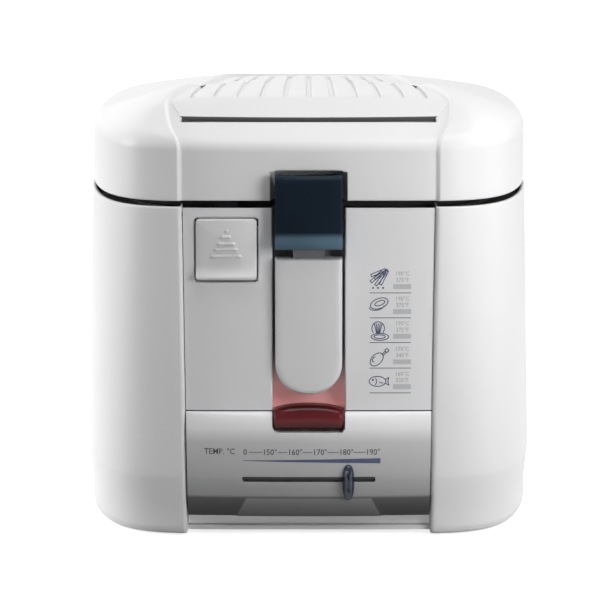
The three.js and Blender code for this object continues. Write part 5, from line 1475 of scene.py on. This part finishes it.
basket = {"halfX": 76.8, "halfY": 86.2, "taper": 5.0, "foot": 71.0, "top": 137.0, "rimWire": 1.5,
          "footWire": 1.1, "wire": 0.8, "pitch": 11.0, "rows": [81.0, 92.0, 103.0, 114.0, 125.0]}


def basketLoop(z, grow, count=96):
    share = (z - basket["foot"]) / (basket["top"] - basket["foot"])
    drawnIn = basket["taper"] * (1 - share) - grow
    angles = np.linspace(0, 2 * math.pi, count + 1)[:-1]
    xs, ys = outlineAt(angles, basket["halfX"] - drawnIn, basket["halfY"] - drawnIn)
    return [(x, y, z) for x, y in zip(xs, ys)]


def tubeAlong(points, radius, closed=False, sides=6):
    points = [Vector(point) for point in points]
    count = len(points)
    rows = []
    across = None
    for index, point in enumerate(points):
        before = points[index - 1] if closed or index else point
        after = points[(index + 1) % count] if closed or index < count - 1 else point
        along = (after - before).normalized()
        if across is None:
            across = along.orthogonal().normalized()
        across = (across - along * across.dot(along)).normalized()
        other = along.cross(across)
        rows.append([tuple(point + across * a + other * b) for a, b in circle(0, 0, radius, sides)])
    if closed:
        rows.append(rows[0])
    return sheetOf(np.array(rows), closed=True)


def straightWire(start, end):
    middle = [(a + b) / 2 for a, b in zip(start, end)]
    return tubeAlong([start, middle, end], basket["wire"])


def makeBasket():
    rimZ, footZ = basket["top"] - 1.5, basket["foot"] + 1.2
    sheets = [tubeAlong(basketLoop(rimZ, -0.3), basket["rimWire"], True, 10),
              tubeAlong(basketLoop(footZ, -0.5), basket["footWire"], True, 8)]
    sheets += [tubeAlong(basketLoop(z, -0.4, 72), basket["wire"], True) for z in basket["rows"]]
    top, foot = basketLoop(rimZ, -1.4, 960), basketLoop(footZ, -1.4, 960)
    gone = basket["pitch"]  # upright wires stand one pitch apart round the rim
    for index, (high, low) in enumerate(zip(top, foot)):
        gone += math.dist(high, top[index - 1]) if index else 0.0
        if gone >= basket["pitch"]:
            gone = 0.0
            sheets.append(straightWire(high, low))
    halfX, halfY = basket["halfX"] - basket["taper"] - 1, basket["halfY"] - basket["taper"] - 1
    power = body["sidePower"]
    lowZ, highZ = basket["foot"] + 0.85, basket["foot"] + 1.6  # the floor's two layers of wire
    for x in np.arange(-66, 67, basket["pitch"]):
        reach = halfY * math.sqrt(1 - (abs(x) / halfX) ** power)
        sheets.append(straightWire((x, -reach, highZ), (x, reach, highZ)))
    for y in np.arange(-77, 78, basket["pitch"]):
        reach = halfX * (1 - (abs(y) / halfY) ** 2) ** (1 / power)
        sheets.append(straightWire((-reach, y, lowZ), (reach, y, lowZ)))
    verts, faces = joinSheets(*sheets)
    newPiece("wire_basket", verts, faces, wireSteel, "lifted_basket", 50, ["basket"], "steel")


makeBasket()
print("basket ready")


gland = [(3.2, -8), (3.2, -0.8), (3.5, -0.25), (4.2, 0), (5.6, 0), (6.5, -0.2), (6.9, -0.6), (7.0, -1.2),
         (7.0, -2.3)]  # radius, and distance from its outer end


def makeGland():
    low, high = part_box("cord_gland")
    x, z = (low[0] + high[0]) / 2 / mm, (low[2] + high[2]) / 2 / mm
    end = high[1] / mm
    rows = [[(a, end + back, b) for a, b in circle(x, z, radius, 40)] for radius, back in gland]
    verts, faces = sheetOf(np.array(rows), closed=True)
    newPiece("cord_outlet", verts, faces, footRubber, "housing", 40, ["cord_gland"], "rubber")


makeGland()

# Nodes that keep their shape, by the start of their names.
keptFinishes = {
    "top_collar": darkMoulding,
    "base_plate": baseGrey,
    "foot_": footRubber,
    "base_screw": brightSteel,
    "bowl": panCoating,
    "heating_element": panCoating,
    "heater_clamp": brightSteel,
    "thermal_cutout": darkMoulding,
    "terminal_block": channelGrey,
    "thermostat": darkMoulding,
    "neon_lamp": lampGlass,
    "lift_bracket": brightSteel,
    "handle_pin": brightSteel,
    "basket_hanger": brightSteel,
    "hinge_bracket": shellWhite,
    "hinge_pin": brightSteel,
    "hinge_screw": brightSteel,
    "lid_catch": catchBlack,
    "latch_bolt": catchBlack,
    "lid_liner": brightSteel,
    "lid_gasket": footRubber,
    "filter_tray": darkMoulding,
    "charcoal_filter": feltBlack,
}

for node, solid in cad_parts.items():
    for start, finish in keptFinishes.items():
        if node.startswith(start):
            for holder in solid.material_slots:
                holder.material = finish
            break
print("kept nodes ready")
